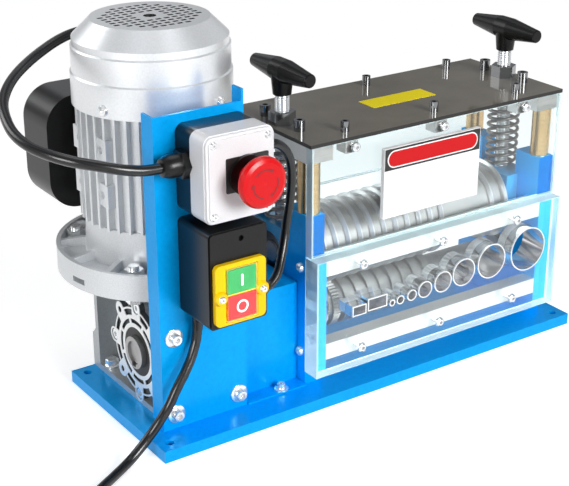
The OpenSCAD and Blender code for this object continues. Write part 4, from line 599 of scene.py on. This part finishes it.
# Dark grey painted shade for the cover's pockets.
painted_pocket_shade = add(tree, "ShaderNodeBsdfPrincipled",
             {"Base Color": linear("#4a4e50"), "Metallic": 0.4, "Roughness": 0.5})
show_where(tree, calc(tree, "GREATER_THAN", in_box.outputs["X"], unshaded_share), shader, painted_pocket_shade)
coat(bright_casting, ["output_cover"], 0.4)
seal_rubber, tree, shader = material("seal_rubber", "#161616", 0, 0.55, IOR=1.52)
surface_grain(tree, shader, 0.8, 0.02)
coat(seal_rubber, ["oil_seals"], 0.4)

# Shafts, rollers and blades: turned and ground steel, lightly oiled, with fine lathe rings.
turned_steel, tree, shader = material("turned_steel", "#a2a1a0", 0.85, 0.4)
shade_between(tree, shader, surface_grain(tree, shader, 10, 0.006, (30, 1, 1)), "#989796", "#acabaa")
coat(turned_steel, ["hollow_shaft", "motor_shaft", "feed_roller", "cutter_shaft", "blade_spacers"],
     0.3)
ground_blade, tree, shader = material("ground_blade", "#c9c9ca", 0.9, 0.34)
shade_between(tree, shader, surface_grain(tree, shader, 8, 0.004, (20, 1, 1)), "#c0c0c1", "#d2d2d3")
coat(ground_blade, ["cutter_blades"], 0.15)
bearing_steel, tree, shader = material("bearing_steel", "#8f9193", 1, 0.25)
surface_grain(tree, shader, 6, 0.004, (20, 1, 1))
coat(bearing_steel, ["upper_bearings", "lower_bearings"], 0.3)

# Bearing blocks: milled steel in the same blue, made greyer with a painted reflection: the pale
# veil of the clear guard in front of them, laid into their colour.
block_blue, tree, shader = material("block_blue", "#2f8fc0", 0.2, 0.35,
                                    Coat_Weight=0.4, Coat_Roughness=0.2)
shade_between(tree, shader, surface_grain(tree, shader, 1.8, 0.006), "#2b8abb", "#3494c5")
coat(block_blue, ["bearing_blocks"], 0.5)

# Springs: round spring-steel wire, wound cold to nine curls and oiled. Each stands between
# its bearing block and the top bar.
spring_wire, tree, shader = material("spring_wire", "#767370", 1, 0.28)
surface_grain(tree, shader, 3, 0.004)
spring_r = 13
wire_r = 1.5
spring_curls = 9
curl_rings = 24
wire_sides = 12
spring_low, spring_high = corner_box("springs")
spring_l = spring_high.z - spring_low.z
wire_turns = [2 * math.pi * k / wire_sides for k in range(wire_sides)]
coils = []
for name in ("left_rod", "right_rod"):
    low, high = corner_box(name)
    centre = (low + high) / 2
    foot, rise = spring_low.z + wire_r, spring_l - 2 * wire_r
    steps = spring_curls * curl_rings
    wire = bmesh.new()
    rings = []
    for i in range(steps + 1):
        a = 2 * math.pi * i / curl_rings
        out = Vector((math.cos(a), math.sin(a), 0))
        climb = rise / (2 * math.pi * spring_curls)
        along = Vector((-spring_r * math.sin(a), spring_r * math.cos(a), climb)).normalized()
        side = along.cross(out)
        middle = Vector((centre.x, centre.y, foot + rise * i / steps)) + spring_r * out
        rings.append([wire.verts.new(placed(middle + wire_r * (math.cos(b) * out + math.sin(b) * side)))
                      for b in wire_turns])
    for one, two in zip(rings, rings[1:]):
        for k in range(wire_sides):
            j = (k + 1) % wire_sides
            wire.faces.new((one[k], one[j], two[j], two[k]))
    wire.faces.new(rings[0])
    wire.faces.new(rings[-1])
    coil = mesh_piece(name.replace("rod", "spring"), wire, spring_wire, "machine", 60)
    top = placed((centre.x, centre.y, spring_high.z))
    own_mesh(coil)
    coils.append(coil)
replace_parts(coils[0], "springs")

# Handle rods: M12 studs with a rolled thread of 1.75 mm pitch, zinc plated.
thread_pitch = 1.75
thread_crest_r = 5.98
thread_root_r = 5.1
thread_sides = 24


def threaded_rod(name, x, y, low_z, high_z, body, node_name):
    """A round bar with a true helical thread between two heights, in millimetres."""
    made = bmesh.new()
    rows = int((high_z - low_z) / thread_pitch * 2) - 2
    rings = []
    for row in range(rows + 1):
        ring = []
        for k in range(thread_sides):
            turn = k / thread_sides
            z = low_z + (row / 2 + turn) * thread_pitch
            r = thread_crest_r if row % 2 else thread_root_r
            a = 2 * math.pi * turn
            ring.append(made.verts.new(placed((x + r * math.cos(a), y + r * math.sin(a), z))))
        rings.append(ring)
    for row in range(rows):
        for k in range(thread_sides):
            if k < thread_sides - 1:
                made.faces.new([rings[row][k], rings[row][k + 1],
                                rings[row + 1][k + 1], rings[row + 1][k]])
            elif row + 3 <= rows:
                made.faces.new([rings[row][k], rings[row + 2][0],
                                rings[row + 3][0], rings[row + 1][k]])
    for z, ring in ((low_z, rings[0]), (high_z, rings[rows])):
        cap = [made.verts.new(placed((x + thread_root_r * math.cos(a), y + thread_root_r * math.sin(a), z)))
               for a in (2 * math.pi * k / thread_sides for k in range(thread_sides))]
        for k in range(thread_sides - 1):
            made.faces.new([cap[k], cap[k + 1], ring[k + 1], ring[k]])
        made.faces.new(cap)
    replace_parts(mesh_piece(name, made, zinc_plate, body, 25), node_name)


for side, body in (("left", "left_screw"), ("right", "right_screw")):
    low, high = corner_box(side + "_rod")
    threaded_rod(side + "_rod_thread", (low.x + high.x) / 2, (low.y + high.y) / 2, low.z, high.z,
                 body, side + "_rod")

# T-handles: moulded black phenolic with the soft gloss of the mould.
black_phenolic, tree, shader = material("black_phenolic", "#0a0a0a", 0, 0.28, IOR=1.5,
                                        Specular_IOR_Level=0.25)
surface_grain(tree, shader, 2.0, 0.006)
coat(black_phenolic, ["left_handle", "right_handle"], 0.8, 40)

# Motor cooling: a black nylon fan under a cowl pressed and spun from sheet steel, painted
# silver. The walls of the grille's holes are near black, a painted shade.
black_nylon, tree, shader = material("black_nylon", "#1c1d1e", 0, 0.5, IOR=1.53)
surface_grain(tree, shader, 1.0, 0.02)
coat(black_nylon, ["cooling_fan"], 0.3)
spun_silver, tree, shader = material("spun_silver", "#e6e8ea", 0.7, 0.34)
shade_between(tree, shader, surface_grain(tree, shader, 1.6, 0.003), "#e2e4e6", "#eaecee")
grille_share = 0.36
in_box = split_xyz(tree, "ShaderNodeTexCoord", "Generated")
facing = split_xyz(tree, "ShaderNodeNewGeometry", "True Normal")
upright = calc(tree, "LESS_THAN", calc(tree, "ABSOLUTE", facing.outputs["Z"]), 0.5)
out_x, out_y = [calc(tree, "SUBTRACT", in_box.outputs[way], 0.5) for way in ("X", "Y")]
flat_way = add(tree, "ShaderNodeCombineXYZ", {0: out_x, 1: out_y})
off_axis = add(tree, "ShaderNodeVectorMath", {0: flat_way.outputs[0]}, operation="LENGTH")
in_grille = calc(tree, "LESS_THAN", off_axis.outputs["Value"], grille_share)
# Near-black painted shade on the grille's hole walls.
painted_hole_shade = add(tree, "ShaderNodeBsdfPrincipled", {"Base Color": linear("#161718"), "Roughness": 0.6})
show_where(tree, calc(tree, "MULTIPLY", upright, in_grille), shader, painted_hole_shade)
coat(spun_silver, ["fan_cowl"], 0.5, 25)

# Capacitor box, switch box, stop box base, actuator and plug: moulded black ABS with the fine
# spark grain of the mould.
black_abs, tree, shader = material("black_abs", "#0b0b0c", 0, 0.3, IOR=1.53, Specular_IOR_Level=0.28)
shade_between(tree, shader, surface_grain(tree, shader, 0.7, 0.005), "#090909", "#0e0e0f")
coat(black_abs, ["capacitor_box", "capacitor_lid", "stop_base", "switch_box", "switch_lid"], 0.8, 28)
coat(black_abs, ["stop_actuator", "plug"], 0.3)

# Cable glands: nylon, a hexagon on the box and a domed nut that grips the lead. The power
# cord leaves through a low grommet, close to the bracket.
gland = [(7, 0, 1), (7, 3.4, 1), (6.3, 3.9), (6.3, 8.6), (5.6, 11.6), (4.6, 13.4)]
gland_l = 13.8
lead_hole_r = 3.4
grommet = [(5.9, 0), (5.9, 1.6), (5.2, 2.4), (3.5, 2.6)]
# Each gland's foot, direction and size against the smallest
gland_places = (((32, 14, 229), (-1, 0, 0), 1.4), ((90.5, 14, 229), (1, 0, 0), 1),
                ((85, 195, 241), (0, 0, 1), 1), ((82, 6, 119), (1, 0, 0), 1))
glands = bmesh.new()
for origin, direction, grown in gland_places:
    rows = [(max(r * grown, lead_hole_r), h * grown, *more) for r, h, *more in gland]
    turn_into(glands, rows + [(lead_hole_r, gland_l * grown)], origin, direction, 36)
turn_into(glands, grommet, (43.4, 20, 108), (0, 0, -1), 36)
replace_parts(mesh_piece("gland_nuts", glands, black_abs, "machine"), "cable_glands")

# Control bracket and gear cover: folded sheet steel in the blue enamel, with small bend radii.
coat(blue_enamel, ["control_bracket", "gear_cover"], 0.5)

# Stop box cover: pale grey ABS with a fine satin texture and round edges.
pale_abs, tree, shader = material("pale_abs", "#d8d8da", 0, 0.36, IOR=1.53)
shade_between(tree, shader, surface_grain(tree, shader, 0.8, 0.006), "#d6d6d8", "#dcdcde")
coat(pale_abs, ["stop_cover"], 0.8, 28)
low, high = corner_box("stop_cover")
plate_low, plate_high, plate_t = (48.5, 211), (84, 237), 0.8
flat_outline("stop_dark_plate", round_outline(plate_low, plate_high, 1.2), low.y - plate_t, low.y,
             printed_black, "machine")

# Stop button: a red moulded mushroom head on a red stem, glossy, with three curved arrows
# pressed into its face that show the way to twist. The arrows are a darker red, painted shade
# for their pressed grooves.
red_abs, tree, shader = material("red_abs", "#cc060f", 0, 0.26, IOR=1.53, Specular_IOR_Level=0.3)
shade_between(tree, shader, surface_grain(tree, shader, 1.2, 0.004), "#c8050e", "#d00810")
coat(red_abs, ["stop_head", "stop_stem", "stop_button"], 0.5, 30)
low, cx, cz = centre_xz("stop_head")
arrow_front, arrow_back = 0.13, 0.5
# Darker red painted shade for the arrows' pressed grooves.
arrow_groove_shade, tree, shader = material("arrow_groove_shade", "#8c050c", 0, 0.4, IOR=1.53)
surface_grain(tree, shader, 1.2, 0.004)
arrow = [(9.7, a) for a in range(0, 80, 8)] + [(8.6, 78), (10.3, 92), (12.0, 78)]
arrow += [(10.9, a) for a in range(72, -8, -8)]
for turn in (20, 140, 260):
    outline = [(cx + r * math.cos(math.radians(turn - a)), cz + r * math.sin(math.radians(turn - a)))
               for r, a in arrow]
    flat_outline("twist_arrow_%d" % turn, outline, low.y + arrow_front, low.y + arrow_back,
                 arrow_groove_shade, "stop_twist")

# Switch: yellow bezel, green start and red stop buttons behind a clear soft membrane.
yellow_abs, tree, shader = material("yellow_abs", "#f3c600", 0, 0.3, IOR=1.53, Specular_IOR_Level=0.3)
shade_between(tree, shader, surface_grain(tree, shader, 1.0, 0.005), "#f0c200", "#f6ca00")
coat(yellow_abs, ["switch_bezel"], 0.5)
lug = [(3.45, 0.05), (5.4, 0.05), (5.2, 1.9), (4.5, 2.9), (3.45, 3.02)]
bezel_face_y = -21
lugs = bmesh.new()
for x, z in ((38.3, 135), (73.7, 135)):
    turn_into(lugs, lug, (x, bezel_face_y, z), (0, -1, 0))
mesh_piece("bezel_lugs", lugs, yellow_abs, "machine")
green_abs, tree, shader = material("green_abs", "#00863c", 0, 0.3, IOR=1.53, Specular_IOR_Level=0.3)
surface_grain(tree, shader, 1.0, 0.01)
coat(green_abs, ["start_button"], 0.4)
soft_membrane, tree, shader = material("soft_membrane", "#f5f8f8", 0, 0.12, IOR=1.43,
                                       Transmission_Weight=1.0)
surface_grain(tree, shader, 4, 0.03)
coat(soft_membrane, ["switch_membrane"], 0.2)
nodes["switch_membrane"].visible_shadow = False

# The usual bar and ring on the buttons, moulded in white.
white_mark, tree, shader = material("white_mark", "#f4f4f4", 0, 0.4, IOR=1.5)
surface_grain(tree, shader, 1.0, 0.005)
mark_t = 0.12
bar_half_w, bar_half_h = 0.9, 4.5
ring_out_r, ring_in_r = 5.0, 3.6
low, cx, cz = centre_xz("start_button")
bar = round_outline((cx - bar_half_w, cz - bar_half_h), (cx + bar_half_w, cz + bar_half_h), 0.4, 3)
flat_outline("start_mark", bar, low.y - mark_t, low.y, white_mark, "start_key")
low, cx, cz = centre_xz("stop_button")
flat_outline("stop_mark", circle(cx, cz, ring_out_r), low.y - mark_t, low.y, white_mark, "stop_key",
             circle(cx, cz, ring_in_r))
